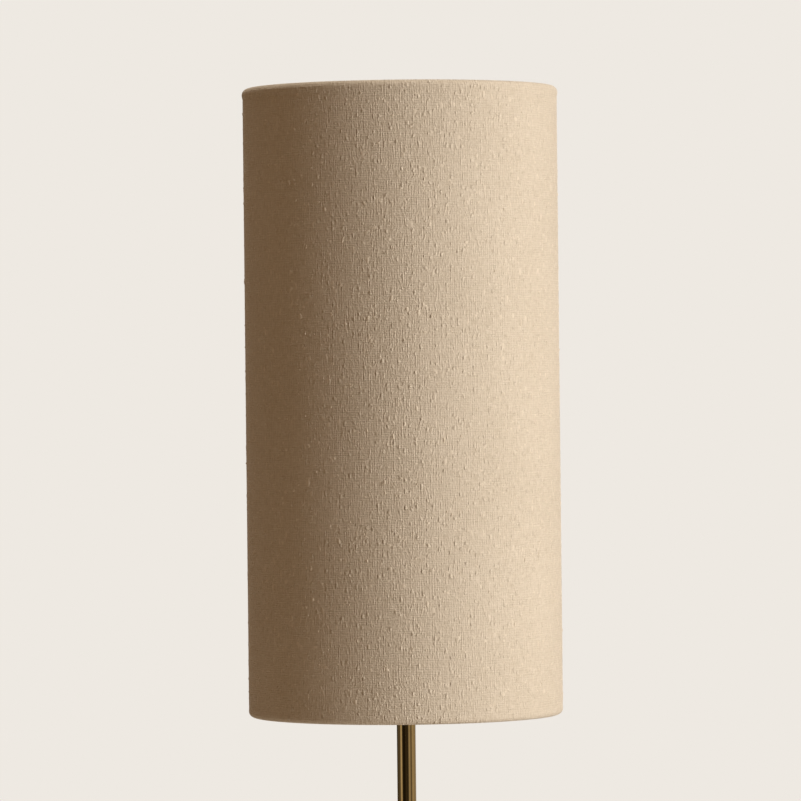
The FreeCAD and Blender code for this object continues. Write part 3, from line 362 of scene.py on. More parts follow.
def lathe_tree():
    """Turns a profile about Z. The profile is the object's own points, at (r, 0, z), each with its share of
    the way along ("along") and how much of the ripple, the thread and the flutes it takes ("marks")."""
    tree, given = new_geometry_tree(
        "turned piece",
        {
            "Segments": 96, "Start Angle": 0.0, "Ripple": 0.0, "Ripple Size": RIPPLE_SIZE,
            "Thread Pitch": 1.0 * MM, "Thread Depth": 0.0, "Flutes": 0, "Flute Depth": 0.0,
        },
    )
    profile = given.outputs["Geometry"]
    count = add(tree, "GeometryNodeAttributeDomainSize", {0: profile}, component="MESH")
    columns = add(tree, "ShaderNodeMath", {0: given.outputs["Segments"], 1: 1.0}, operation="ADD")
    grid = add(tree, "GeometryNodeMeshGrid", {0: 1.0, 1: 1.0, 2: columns, 3: count})
    place = add(tree, "GeometryNodeInputIndex")
    row = add(tree, "ShaderNodeMath", {0: place, 1: count.outputs[0]}, operation="MODULO")
    column = add(tree, "ShaderNodeMath", {0: place, 1: count.outputs[0]}, operation="DIVIDE")
    column = add(tree, "ShaderNodeMath", {0: column, 1: 0.0005}, operation="ADD")  # against rounding down
    column = add(tree, "ShaderNodeMath", {0: column}, operation="FLOOR")
    around = add(tree, "ShaderNodeMath", {0: column, 1: given.outputs["Segments"]}, operation="DIVIDE")

    # Each point keeps what its point of the profile says, and how far round it is
    stored = {}
    for label, kind in {"along": "FLOAT", "marks": "FLOAT_VECTOR"}.items():
        value = add(tree, "GeometryNodeInputNamedAttribute", {0: label}, data_type=kind)
        sample = add(tree, "GeometryNodeSampleIndex", {0: profile, 1: value, 2: row}, data_type=kind)
        stored[label] = kind, sample
    stored["around"] = "FLOAT", around
    geometry, kept = grid, {}
    for label, (kind, value) in stored.items():
        inputs = {0: geometry, 2: label, 3: value}
        geometry = add(tree, "GeometryNodeStoreNamedAttribute", inputs, data_type=kind)
        kept[label] = add(tree, "GeometryNodeInputNamedAttribute", {0: label}, data_type=kind)
    around = kept["around"]
    inputs = {0: geometry, 2: WEAVE_MAP, 3: add(tree, "ShaderNodeCombineXYZ", {0: around, 1: kept["along"]})}
    mapped = add(tree, "GeometryNodeStoreNamedAttribute", inputs, data_type="FLOAT2", domain="CORNER")

    point = add(tree, "GeometryNodeInputPosition")
    sample = add(tree, "GeometryNodeSampleIndex", {0: profile, 1: point, 2: row}, data_type="FLOAT_VECTOR")
    level = add(tree, "ShaderNodeSeparateXYZ", {0: sample})
    mark = add(tree, "ShaderNodeSeparateXYZ", {0: kept["marks"]})
    full = add(tree, "ShaderNodeMath", {0: around, 1: 2 * math.pi}, operation="MULTIPLY")
    turn = add(tree, "ShaderNodeMath", {0: full, 1: given.outputs["Start Angle"]}, operation="ADD")
    across = add(tree, "ShaderNodeMath", {0: turn}, operation="COSINE")
    deep = add(tree, "ShaderNodeMath", {0: turn}, operation="SINE")

    # Ripple: noise at the turned place, so that it closes round the piece
    x = add(tree, "ShaderNodeMath", {0: level.outputs[0], 1: across}, operation="MULTIPLY")
    y = add(tree, "ShaderNodeMath", {0: level.outputs[0], 1: deep}, operation="MULTIPLY")
    turned = add(tree, "ShaderNodeCombineXYZ", {0: x, 1: y, 2: level.outputs[2]})
    often = add(tree, "ShaderNodeMath", {0: 1.0, 1: given.outputs["Ripple Size"]}, operation="DIVIDE")
    ripple = add(tree, "ShaderNodeTexNoise", {"Vector": turned, "Scale": often, "Detail": 2.0})
    for value in (given.outputs["Ripple"], mark.outputs[0]):
        ripple = add(tree, "ShaderNodeMath", {0: ripple, 1: value}, operation="MULTIPLY")

    # Thread: a groove that climbs one pitch to a turn
    groove = level.outputs[2]
    for operation, value in (
        ("DIVIDE", given.outputs["Thread Pitch"]),
        ("SUBTRACT", around),
        ("FRACT", 0.0),
        ("SUBTRACT", 0.5),
        ("ABSOLUTE", 0.0),
        ("MULTIPLY", 2.0),
        ("MULTIPLY", given.outputs["Thread Depth"]),
        ("MULTIPLY", mark.outputs[1]),
    ):
        groove = add(tree, "ShaderNodeMath", {0: groove, 1: value}, operation=operation)

    # Flutes: upright hollows, evenly round
    wave = add(tree, "ShaderNodeMath", {0: full, 1: given.outputs["Flutes"]}, operation="MULTIPLY")
    wave = add(tree, "ShaderNodeMath", {0: wave}, operation="COSINE")
    wave = add(tree, "ShaderNodeMath", {0: 1.0, 1: wave}, operation="SUBTRACT")
    for value in (0.5, given.outputs["Flute Depth"], mark.outputs[2]):
        wave = add(tree, "ShaderNodeMath", {0: wave, 1: value}, operation="MULTIPLY")

    radius = level.outputs[0]
    for operation, value in (("ADD", ripple), ("SUBTRACT", groove), ("SUBTRACT", wave)):
        radius = add(tree, "ShaderNodeMath", {0: radius, 1: value}, operation=operation)
    x = add(tree, "ShaderNodeMath", {0: radius, 1: across}, operation="MULTIPLY")
    y = add(tree, "ShaderNodeMath", {0: radius, 1: deep}, operation="MULTIPLY")
    where = add(tree, "ShaderNodeCombineXYZ", {0: x, 1: y, 2: level.outputs[2]})
    moved = add(tree, "GeometryNodeSetPosition", {0: mapped, 2: where})
    joined = add(tree, "GeometryNodeMergeByDistance", {0: moved, 2: WELD})
    return end_geometry_tree(tree, given, joined)


def slub_tree():
    """Strews slubs over the marked part of a cloth: long low grains that lie along its upright threads."""
    tree, given = new_geometry_tree(
        "slubs",
        {
            "Density": 5000.0, "Width": 1.3 * MM, "Length": 2.3 * MM, "Height": 0.7 * MM, "Lean": 0.25,
            "Seed": 7,
        },
    )
    seed, most = given.outputs["Seed"], given.outputs["Lean"]
    wall = add(tree, "GeometryNodeInputNamedAttribute", {0: "marks"}, data_type="FLOAT_VECTOR")
    wall = add(tree, "ShaderNodeSeparateXYZ", {0: wall}).outputs[0]
    chosen = add(
        tree, "FunctionNodeCompare", {0: wall, 1: 0.99}, data_type="FLOAT", operation="GREATER_THAN"
    )
    strewn = add(
        tree,
        "GeometryNodeDistributePointsOnFaces",
        {"Mesh": given, "Selection": chosen, "Density": given.outputs["Density"], "Seed": seed},
        distribute_method="RANDOM",
    )
    facing = add(tree, "FunctionNodeAlignRotationToVector", {"Vector": strewn.outputs["Normal"]}, axis="Z")
    upright = add(
        tree, "FunctionNodeAlignRotationToVector", {"Rotation": facing, "Vector": (0, 0, 1)},
        axis="Y", pivot_axis="Z",
    )
    least = add(tree, "ShaderNodeMath", {0: most, 1: -1.0}, operation="MULTIPLY")
    angle = add(tree, "FunctionNodeRandomValue", {2: least, 3: most, 8: seed}, data_type="FLOAT")
    twist = add(tree, "FunctionNodeAxisAngleToRotation", {"Axis": (0, 0, 1), "Angle": angle.outputs[1]})
    turned = add(tree, "FunctionNodeRotateRotation", {0: upright, 1: twist}, rotation_space="LOCAL")
    sizes = []  # from half to twice each size, with few large ones
    for offset, label in enumerate(("Width", "Length", "Height")):
        other = add(tree, "ShaderNodeMath", {0: seed, 1: offset + 1.0}, operation="ADD")
        share = add(tree, "FunctionNodeRandomValue", {2: 0.0, 3: 1.0, 8: other}, data_type="FLOAT")
        few = add(tree, "ShaderNodeMath", {0: share.outputs[1], 1: 3.0}, operation="POWER")
        share = add(tree, "ShaderNodeMath", {0: few, 1: 1.5, 2: 0.5}, operation="MULTIPLY_ADD")
        sizes.append(add(tree, "ShaderNodeMath", {0: share, 1: given.outputs[label]}, operation="MULTIPLY"))
    scale = add(tree, "ShaderNodeCombineXYZ", dict(enumerate(sizes)))
    ball = add(tree, "GeometryNodeMeshUVSphere", {0: 6, 1: 4, 2: 1.0})
    sunk = add(tree, "GeometryNodeTransform", {"Geometry": ball, "Translation": (0.0, 0.0, -0.5)})
    # Only the top of each slub stands out of the cloth, and its flat underside stays inside the cloth
    spot = add(tree, "ShaderNodeSeparateXYZ", {0: add(tree, "GeometryNodeInputPosition")})
    under = add(tree, "ShaderNodeMath", {0: spot.outputs[2], 1: -0.3}, operation="MAXIMUM")
    spot = add(tree, "ShaderNodeCombineXYZ", {0: spot.outputs[0], 1: spot.outputs[1], 2: under})
    sunk = add(tree, "GeometryNodeSetPosition", {0: sunk, 2: spot})
    inputs = {"Points": strewn, "Instance": sunk, "Rotation": turned, "Scale": scale}
    return end_geometry_tree(tree, given, add(tree, "GeometryNodeInstanceOnPoints", inputs))


def screws_tree():
    """Cuts a cross recess into the underside of a screw at the origin, and sets copies of it evenly round a
    circle."""
    tree, given = new_geometry_tree(
        "screws on a circle",
        {
            "Screws": 3, "Circle": SCREW_CIRCLE, "Start Angle": 0.0, "Level": 0.0, "Recess Length": 3.8 * MM,
            "Recess Width": 0.9 * MM, "Recess Depth": 0.9 * MM,
        },
    )
    screw = given.outputs["Geometry"]
    deep = add(tree, "ShaderNodeMath", {0: given.outputs["Recess Depth"], 1: 2.0}, operation="MULTIPLY")
    for sides in (("Recess Length", "Recess Width"), ("Recess Width", "Recess Length")):
        long, wide = (given.outputs[side] for side in sides)
        size = add(tree, "ShaderNodeCombineXYZ", {0: long, 1: wide, 2: deep})
        bar = add(tree, "GeometryNodeMeshCube", {"Size": size})
        screw = add(
            tree, "GeometryNodeMeshBoolean", {"Mesh 1": screw, "Mesh 2": bar},
            operation="DIFFERENCE", solver="EXACT",
        )
    inputs = {"Vertices": given.outputs["Screws"], "Radius": given.outputs["Circle"]}
    ring = add(tree, "GeometryNodeMeshCircle", inputs)
    level = add(tree, "ShaderNodeCombineXYZ", {2: given.outputs["Level"]})
    turn = add(tree, "ShaderNodeCombineXYZ", {2: given.outputs["Start Angle"]})
    ring = add(tree, "GeometryNodeTransform", {"Geometry": ring, "Translation": level, "Rotation": turn})
    placed = add(tree, "GeometryNodeInstanceOnPoints", {"Points": ring, "Instance": screw})
    return end_geometry_tree(tree, given, placed)


def ridges_tree():
    """Sets long low ridges side by side on both faces of a flat grip whose middle is at Place, along Y."""
    tree, given = new_geometry_tree(
        "grip ridges",
        {
            "Ridges": 5, "Spacing": 2.2 * MM, "Thickness": 5.0 * MM, "Width": 1.1 * MM, "Length": 8.0 * MM,
            "Proud": 0.35 * MM, "Place": (0, 0, 0),
        },
    )
    last = add(tree, "ShaderNodeMath", {0: given.outputs["Ridges"], 1: 1.0}, operation="SUBTRACT")
    spread = add(tree, "ShaderNodeMath", {0: last, 1: given.outputs["Spacing"]}, operation="MULTIPLY")
    left = add(tree, "ShaderNodeMath", {0: spread, 1: -0.5}, operation="MULTIPLY")
    step = add(tree, "ShaderNodeCombineXYZ", {0: given.outputs["Spacing"]})
    faces = []
    for side in (0.5, -0.5):
        up = add(tree, "ShaderNodeMath", {0: given.outputs["Thickness"], 1: side}, operation="MULTIPLY")
        start = add(tree, "ShaderNodeCombineXYZ", {0: left, 2: up})
        inputs = {"Count": given.outputs["Ridges"], "Start Location": start, "Offset": step}
        faces.append(add(tree, "GeometryNodeMeshLine", inputs))
    both = add(tree, "GeometryNodeJoinGeometry", {0: faces})
    both = add(tree, "GeometryNodeTransform", {"Geometry": both, "Translation": given.outputs["Place"]})
    wide = add(tree, "ShaderNodeMath", {0: given.outputs["Width"], 1: 0.5}, operation="MULTIPLY")
    long = add(tree, "ShaderNodeMath", {0: given.outputs["Length"], 1: 0.5}, operation="MULTIPLY")
    scale = add(tree, "ShaderNodeCombineXYZ", {0: wide, 1: long, 2: given.outputs["Proud"]})
    ridge = add(tree, "GeometryNodeMeshUVSphere", {"Segments": 16, "Rings": 12, "Radius": 1.0})
    placed = add(tree, "GeometryNodeInstanceOnPoints", {"Points": both, "Instance": ridge, "Scale": scale})
    return end_geometry_tree(tree, given, placed)


def profile_object(name, points, marks):
    """An object whose points are a lathe's profile."""
    thing = place_mesh(name, [(r, 0, z) for r, z in points])
    steps = [0.0] + [math.dist(a, b) for a, b in zip(points, points[1:])]
    along = np.cumsum(steps) / sum(steps)
    thing.data.attributes.new("along", "FLOAT", "POINT").data.foreach_set("value", along.astype(np.float32))
    attribute = thing.data.attributes.new("marks", "FLOAT_VECTOR", "POINT")
    attribute.data.foreach_set("vector", np.array(marks, np.float32).ravel())
    return thing


# Finishes


def grain(tree, coordinates, size, detail=2.0, distortion=0.0):
    """Noise with a grain of this size in millimetres along each axis of coordinates in metres."""
    mapped = add(tree, "ShaderNodeMapping", {"Vector": coordinates, "Scale": tuple(1000.0 / s for s in size)})
    inputs = {"Vector": mapped, "Scale": 1.0, "Detail": detail, "Distortion": distortion}
    return add(tree, "ShaderNodeTexNoise", inputs).outputs[0]


def linen(settings, around, along):
    """Linen, plain woven from uneven flax yarn: matt, with upright slubs that the raking light picks out, and
    painted shade in the hollows of its weave.
    """
    material, tree, shader = new_material("linen_plain_woven")
    uv = add(tree, "ShaderNodeUVMap", uv_map=WEAVE_MAP)
    cloth = add(tree, "ShaderNodeMapping", {"Vector": uv, "Scale": (around, along, 1.0)})
    # The threads of a fine linen, under a millimetre apart, are too fine for the picture: these are coarser
    warp_mm, weft_mm = settings.warp / MM, settings.weft / MM
    lumps = grain(tree, cloth, (1.9, 9.0, 1.0), 1.0, 0.25)
    layers = {
        "short": grain(tree, cloth, (0.6 * warp_mm, 2.0, 1.0), 0.0),
        "middling": grain(tree, cloth, (0.6 * warp_mm, 8.0, 1.0), 0.0),
        "long": grain(tree, cloth, (warp_mm, 36.0, 1.0), 0.0),
        "weft": grain(tree, cloth, (8.0, 0.6 * weft_mm, 1.0), 0.0),
        "cloud": grain(tree, cloth, (60.0, 90.0, 1.0), 2.0),
        "thick": add(
            tree, "ShaderNodeMapRange", {0: lumps, 1: 0.56, 2: 0.74}, interpolation_type="SMOOTHSTEP"
        ),
    }

    # Threads: rounded, each as thick as one noise says, and wandering with another
    level = add(tree, "ShaderNodeSeparateXYZ", {0: cloth})
    for label, axis, spacing, size, thickness in (
        ("upright", 0, settings.warp, (22.0, 110.0, 1.0), "middling"),
        ("across", 1, settings.weft, (110.0, 22.0, 1.0), "weft"),
    ):
        wander = grain(tree, cloth, size, 1.0)
        inputs = {0: level.outputs[axis], 1: 2 * math.pi / spacing}
        turn = add(tree, "ShaderNodeMath", inputs, operation="MULTIPLY")
        turn = add(tree, "ShaderNodeMath", {0: wander, 1: THREAD_WANDER, 2: turn}, operation="MULTIPLY_ADD")
        crest = add(tree, "ShaderNodeMath", {0: turn}, operation="COSINE")
        crest = add(tree, "ShaderNodeMath", {0: crest, 1: 0.5, 2: 0.5}, operation="MULTIPLY_ADD")
        layers[label] = add(tree, "ShaderNodeMath", {0: crest, 1: layers[thickness]}, operation="MULTIPLY")

    # Nubs: one to a cell, each of its own size, with a ragged rim
    ragged = grain(tree, cloth, (1.6, 2.2, 1.0), 1.0)
    inputs = {"Vector": cloth, "Scale": (1000 / NUB_CELL[0], 1000 / NUB_CELL[1], 0.0)}
    cell = add(tree, "ShaderNodeMapping", inputs)
    cell = add(tree, "ShaderNodeTexVoronoi", {"Vector": cell, "Scale": 1.0}, voronoi_dimensions="2D")
    own = add(tree, "ShaderNodeSeparateColor", {0: cell.outputs["Color"]})
    few = add(tree, "ShaderNodeMath", {0: own.outputs[0], 1: NUB_FEW}, operation="POWER")
    inputs = {0: few, 1: NUB_REACH[0], 2: NUB_REACH[1]}
    reach = add(tree, "ShaderNodeMath", inputs, operation="MULTIPLY_ADD")
    inputs = {0: ragged, 1: NUB_RAGGED, 2: cell.outputs["Distance"]}
    rim = add(tree, "ShaderNodeMath", inputs, operation="MULTIPLY_ADD")
    rim = add(tree, "ShaderNodeMath", {0: rim, 1: NUB_RAGGED / 2}, operation="SUBTRACT")
    nub = add(
        tree, "ShaderNodeMapRange", {0: rim, 2: reach, 3: 1.0, 4: 0.0}, interpolation_type="SMOOTHSTEP"
    )
    layers["nub"] = add(tree, "ShaderNodeMath", {0: nub, 1: few}, operation="MULTIPLY")

    def blend(shares):
        """The sum of these layers, each times its share."""
        total = 0.0
        for label, share in shares.items():
            inputs = {0: layers[label], 1: share, 2: total}
            total = add(tree, "ShaderNodeMath", inputs, operation="MULTIPLY_ADD")
        return total

    height = blend(RELIEF_SHARES)
    bump = add(tree, "ShaderNodeBump", {"Strength": 1.0, "Distance": settings.relief, "Height": height})
    flax, shive, slub = opaque(settings.flax), opaque(settings.shive), opaque(settings.slub)
    # Lighter where the weave stands up and darker in its hollows: painted shade of the weave, over the yarn's
    # own tone
    shade = add(tree, "ShaderNodeMapRange", {0: blend(COLOUR_AND_SHADE_SHARES), 1: 0.38, 2: 0.88})
    yarn = add(tree, "ShaderNodeMix", {0: shade, 6: shive, 7: flax}, data_type="RGBA").outputs[2]
    pale = add(tree, "ShaderNodeMath", {0: layers["thick"], 1: layers["nub"]}, operation="MAXIMUM")
    pale = add(tree, "ShaderNodeMath", {0: pale, 1: 0.5}, operation="MULTIPLY")
    colour = add(tree, "ShaderNodeMix", {0: pale, 6: yarn, 7: slub}, data_type="RGBA").outputs[2]
    set_inputs(tree, shader, {"Base Color": colour, "Normal": bump, **MATT_YARN})
    return material


def slub_linen(settings):
    """Linen yarn where it is spun thick: matt, and a little paler than the cloth round it."""
    material, tree, shader = new_material("linen_yarn_slubs")
    place = add(tree, "ShaderNodeTexCoord").outputs["Object"]
    fibre = grain(tree, place, (1.2, 1.2, 6.0), 2.0)
    flax, slub = opaque(settings.flax), opaque(settings.slub)
    colour = add(tree, "ShaderNodeMix", {0: fibre, 6: flax, 7: slub}, data_type="RGBA").outputs[2]
    bump = add(tree, "ShaderNodeBump", {"Strength": 0.6, "Distance": 0.1 * MM, "Height": fibre})
    set_inputs(tree, shader, {"Base Color": colour, "Normal": bump, **MATT_YARN})
    return material


def metal(name, colour, dull, age, marks, rough, depth, rings=False):
    """A metal with dull places and the marks of its making, whose sizes and depth are in millimetres. With
    rings, the first size is across the rings of a spun sheet."""
    material, tree, shader = new_material(name)
    place = add(tree, "ShaderNodeTexCoord").outputs["Object"]
    across = place
    if rings:
        parts = add(tree, "ShaderNodeSeparateXYZ", {0: place})
        level = add(tree, "ShaderNodeCombineXYZ", {0: parts.outputs[0], 1: parts.outputs[1]})
        radius = add(tree, "ShaderNodeVectorMath", {0: level}, operation="LENGTH")
        across = add(tree, "ShaderNodeCombineXYZ", {0: radius.outputs["Value"], 2: parts.outputs[2]})
    lines = grain(tree, across, marks, 2.0)
    mottle = grain(tree, place, (60.0, 60.0, 90.0), 3.0, 0.3)
    specks = grain(tree, place, (2.5, 2.5, 4.0), 3.0)
    dulled = add(tree, "ShaderNodeMath", {0: specks, 1: 0.35, 2: mottle}, operation="MULTIPLY_ADD")
    dulled = add(
        tree, "ShaderNodeMapRange", {0: dulled, 1: 0.45, 2: 0.95, 4: age}, interpolation_type="SMOOTHSTEP"
    )
    mixed = add(tree, "ShaderNodeMix", {0: dulled, 6: opaque(colour), 7: opaque(dull)}, data_type="RGBA")
    shine = add(tree, "ShaderNodeMath", {0: lines, 1: 0.5, 2: dulled}, operation="MULTIPLY_ADD")
    shine = add(tree, "ShaderNodeMapRange", {0: shine, 1: 0.1, 2: 0.9, 3: rough[0], 4: rough[1]})
    bump = add(tree, "ShaderNodeBump", {"Strength": 0.5, "Distance": depth * MM, "Height": lines})
    set_inputs(
        tree, shader, {"Base Color": mixed.outputs[2], "Roughness": shine, "Normal": bump, "Metallic": 1.0}
    )
    return material


def moulded(name, colour, other, size, rough, depth, detail=2.0, **values):
    """A moulded, pressed or painted surface with two near colours and a fine grain, whose sizes and depth are
    in millimetres."""
    material, tree, shader = new_material(name)
    place = add(tree, "ShaderNodeTexCoord").outputs["Object"]
    fine = grain(tree, place, size, detail)
    wide = grain(tree, place, tuple(12 * s for s in size), 3.0)
    mixed = 0.0
    for noise in (fine, wide):
        mixed = add(tree, "ShaderNodeMath", {0: noise, 1: 0.5, 2: mixed}, operation="MULTIPLY_ADD")
    mixed = add(tree, "ShaderNodeMapRange", {0: mixed, 1: 0.3, 2: 0.7})
    inputs = {0: mixed, 6: opaque(linear(colour)), 7: opaque(linear(other))}
    tone = add(tree, "ShaderNodeMix", inputs, data_type="RGBA")
    shine = add(tree, "ShaderNodeMapRange", {0: wide, 1: 0.3, 2: 0.7, 3: rough[0], 4: rough[1]})
    bump = add(tree, "ShaderNodeBump", {"Strength": 0.6, "Distance": depth * MM, "Height": fine})
    set_inputs(tree, shader, {"Base Color": tone.outputs[2], "Roughness": shine, "Normal": bump})
    set_inputs(tree, shader, {label.replace("_", " "): value for label, value in values.items()})
    return material


def finishes(brass):
    """The materials by slot, and by node for those nodes whose making differs from their slot's."""
    bright, tarnish, age = brass.metal, brass.tarnish, brass.age
    # Brass tube, drawn and polished: fine lines along it, and a smoky tint where the lacquer has gone
    tube = metal("brass_tube_drawn_polished", bright, tarnish, age, (0.35, 0.35, 70.0), (0.05, 0.14), 0.0015)
    # Brass sheet, spun on a chuck and polished: faint rings that catch the light as a soft fan
    sheet = metal(
        "brass_sheet_spun_polished", bright, tarnish, age, (0.5, 40.0, 0.5), (0.12, 0.28), 0.006, rings=True
    )
    # Brass bar, turned and bare: brighter, with level tool rings
    bar = metal("brass_bar_turned", bright, tarnish, 0.2, (30.0, 30.0, 0.22), (0.14, 0.3), 0.008)
    # Brass wire and strip, drawn and only washed: satin rather than mirror bright
    wire = metal("brass_wire_drawn", bright, tarnish, 0.45, (0.5, 0.5, 12.0), (0.22, 0.36), 0.008)
    by_slot = {"polished_brass": tube, "turned_brass": bar, "brass_wire": wire}
    by_node = {
        "base_cover": sheet,
        "holder_cap": sheet,
        "holder_shell": sheet,
        "stem_foot_collar": bar,
        "stem_top_cap": bar,
        "finial": bar,
        "harp_saddle": wire,
    }
    # The other metals: name, colour, dull colour, age, size of the marks, roughness, depth of the marks
    metals = {
        # Steel, zinc plated: pale and bluish, with an even crystal grain
        "zinc_steel": ("steel_zinc_plated", "#C9CDD1", "#9DA1A6", 0.5, (0.6, 0.6, 0.6), (0.3, 0.45), 0.006),
        # Aluminium sheet, pressed and rolled into a thread: bright, with a fine brushed grain
        "nickel_cap": (
            "aluminium_sheet_pressed", "#D9D9D6", "#A9A8A4", 0.35, (20.0, 20.0, 0.3), (0.2, 0.34), 0.006
        ),
        # Solder, tinned on the contact: dull grey
        "solder": ("solder_tinned", "#BDBEC0", "#8C8D90", 0.5, (0.8, 0.8, 0.8), (0.28, 0.4), 0.02),
    }
    for slot, (name, colour, dull, *rest) in metals.items():
        by_slot[slot] = metal(name, linear(colour), linear(dull), *rest)
    # The rest: name, two colours, size of the grain, roughness, depth of the grain, and its detail
    others = {
        # Styrene sheet, calendered: an even, faintly satin white
        "shade_lining": (
            "styrene_sheet_calendered", "#F3F1EB", "#E9E6DE", (1.6, 1.6, 1.6), (0.42, 0.55), 0.012
        ),
        # Powder coat on steel wire: glossy white with a slight orange peel
        "white_wire": ("steel_wire_powder_coated", "#EFEDE8", "#E3E0DA", (0.9, 0.9, 0.9), (0.28, 0.4), 0.03),
        # Grey iron, sand cast and primed black: rough grains under a dull film
        "cast_iron": ("iron_sand_cast_primed", "#2F2F31", "#3B3A3A", (0.8, 0.8, 0.8), (0.7, 0.9), 0.25, 4.0),
        # Wool felt, pressed: short tangled fibres with a soft bloom at a glancing angle
        "felt": ("wool_felt_pressed", "#1E1E1F", "#2C2B2B", (0.35, 0.35, 0.35), (0.93, 0.99), 0.3, 6.0),
        # Nylon, injection moulded: an even satin black
        "black_nylon": ("nylon_moulded_black", "#191919", "#202020", (0.4, 0.4, 0.4), (0.38, 0.5), 0.01),
        # Nylon, injection moulded and undyed: milky white, a little glossy
        "white_nylon": ("nylon_moulded_natural", "#E8E6DD", "#DEDBD0", (0.5, 0.5, 0.5), (0.35, 0.48), 0.01),
        # Soft vinyl, extruded on the conductor: smooth, with a dull shine
        "brown_insulation": (
            "vinyl_extruded_brown", "#6A4126", "#5B3720", (0.5, 0.5, 2.0), (0.4, 0.52), 0.01
        ),
        "blue_insulation": ("vinyl_extruded_blue", "#3C6FB4", "#3363A5", (0.5, 0.5, 2.0), (0.4, 0.52), 0.01),
        # Pressed card, rolled: fibres and flecks in a dry surface
        "card": ("card_pressed_fibre", "#C9B48C", "#B69E74", (0.5, 0.5, 1.5), (0.8, 0.92), 0.06, 4.0),
        # Phenolic, compression moulded: near black with a faint brown flow, and glossy
        "phenolic": (
            "phenolic_compression_moulded", "#1B1613", "#2A201A", (1.4, 1.4, 1.4), (0.16, 0.3), 0.01
        ),
        # Opal glass, blown: milky white under a clear glossy skin
        "opal_glass": ("glass_blown_opal", "#F5F3EE", "#EFEDE7", (6.0, 6.0, 6.0), (0.16, 0.22), 0.004),
        # Black glass, fused into the cap: wet looking
        "black_glass": ("glass_fused_black", "#131317", "#1B1A20", (1.0, 1.0, 1.0), (0.1, 0.18), 0.01),
    }
    extras = {
        "felt": {"Sheen_Weight": 0.4},
        "phenolic": {"Coat_Weight": 0.3},
        "opal_glass": {"Subsurface_Weight": 0.25, "Subsurface_Scale": 0.004, "Coat_Weight": 0.4},
    }
    for slot, values in others.items():
        by_slot[slot] = moulded(*values, **extras.get(slot, {}))
    return by_slot, by_node


class LAMP_OT_finishes(bpy.types.Operator):
    """Gives each piece of the frame its finish"""

    bl_idname = "lamp.finishes"
    bl_label = "Finishes"

    def execute(self, context):
        by_slot, by_node = finishes(context.scene.lamp_brass)
        for name, node in frame["nodes"].items():
            if name == "shade_fabric":  # the cloth takes its place
                continue
            material = by_node.get(name) or by_slot[SLOTS[name]]
            if not node.material_slots:
                node.data.materials.append(material)
            for place in node.material_slots:
                place.material = material
        return {"FINISHED"}


# Shade


def cloth_profile(rows):
    """The cloth's section as a closed loop of (r, z) points, which of them are on the outer wall, and its
    outer face alone. It runs up the outside from the bottom hem's return, round both rings, and back down the
    inside."""
    top, bottom = SHADE_RADIUS + TOP_BEAD, SHADE_RADIUS + BOTTOM_BEAD
    top_centre, bottom_centre = (top - TOP_ROLL, TOP_RING_Z), (bottom - BOTTOM_ROLL, BOTTOM_RING_Z)
    low, high = BOTTOM_RING_Z + BEAD_TAPER, TOP_RING_Z - BEAD_TAPER
    taper = np.linspace(0.0, 1.0, TAPER_STEPS + 1)[1:-1]
    ease = 0.5 - 0.5 * np.cos(np.pi * taper)

    def side(radius, thickness, steps):
        """The wall and its two hems at one face of the cloth."""
        swell, edge = top - thickness - radius, bottom - thickness
        foot = [(edge - (edge - radius) * e, BOTTOM_RING_Z + BEAD_TAPER * t) for t, e in zip(taper, ease)]
        head = [(radius + swell * e, high + BEAD_TAPER * t) for t, e in zip(taper, ease)]
        wall = [(radius, z) for z in np.linspace(low, high, steps + 1)]
        roll_low = arc(bottom_centre, BOTTOM_ROLL - thickness, -180, 0, ROLL_STEPS)
        roll_high = arc(top_centre, TOP_ROLL - thickness, 0, 180, ROLL_STEPS)
        turn = HEM_INNER + thickness
        below = [(turn, BOTTOM_RING_Z + HEM_RETURN)] + roll_low + foot
        above = head + roll_high + [(turn, TOP_RING_Z - HEM_RETURN)]
        return below + wall + above, [0] * len(below) + [1] * len(wall) + [0] * len(above)

    outside, marks = side(SHADE_RADIUS, 0.0, rows)
    inside, _ = side(SHADE_RADIUS - CLOTH, CLOTH, INSIDE_ROWS)
    points = outside + inside[::-1] + outside[:1]
    return points, marks + [0] * (len(inside) + 1), outside


def seam_strip(path, width, thickness):
    """A strip of cloth up the back of the shade, glued over the wall and turned in with the hems."""
    lines = np.array(path)
    ways = np.gradient(lines, axis=0)
    ways /= np.linalg.norm(ways, axis=1)[:, None]
    outward = np.stack([ways[:, 1], -ways[:, 0]], axis=1)
    half = width / 2
    # Across the strip: sunk edge, soft shoulder and flat, then the folded edge, which shows as a line
    section = [
        (-half, -SEAM_SUNK),
        (-half, 0.1 * MM),
        (-half + 1.5 * MM, 0.7 * thickness),
        (-half + 4 * MM, thickness),
        (half - 0.8 * MM, thickness),
        (half - 0.25 * MM, 0.75 * thickness),
        (half, 0.3 * thickness),
        (half, -SEAM_SUNK),
    ]
    points, faces = [], []
    for (r, z), (out_r, out_z) in zip(lines, outward):
        for along, proud in section:
            turn = math.pi / 2 + along / SHADE_RADIUS
            radius = r + out_r * proud
            points.append((radius * math.cos(turn), radius * math.sin(turn), z + out_z * proud))
    size = len(section)
    for i in range(len(lines) - 1):
        for j in range(size):
            a, b = i * size + j, i * size + (j + 1) % size
            faces.append((a, b, b + size, a + size))
    faces.append(tuple(range(size)))
    faces.append(tuple(range((len(lines) - 1) * size, len(lines) * size))[::-1])
    strip = place_mesh("shade_seam", points, faces)
    outwards(strip.data)
    return strip


def outwards(mesh):
    """Turns the faces of a closed mesh outwards."""
    work = bmesh.new()
    work.from_mesh(mesh)
    bmesh.ops.recalc_face_normals(work, faces=work.faces)
    work.to_mesh(mesh)
    work.free()


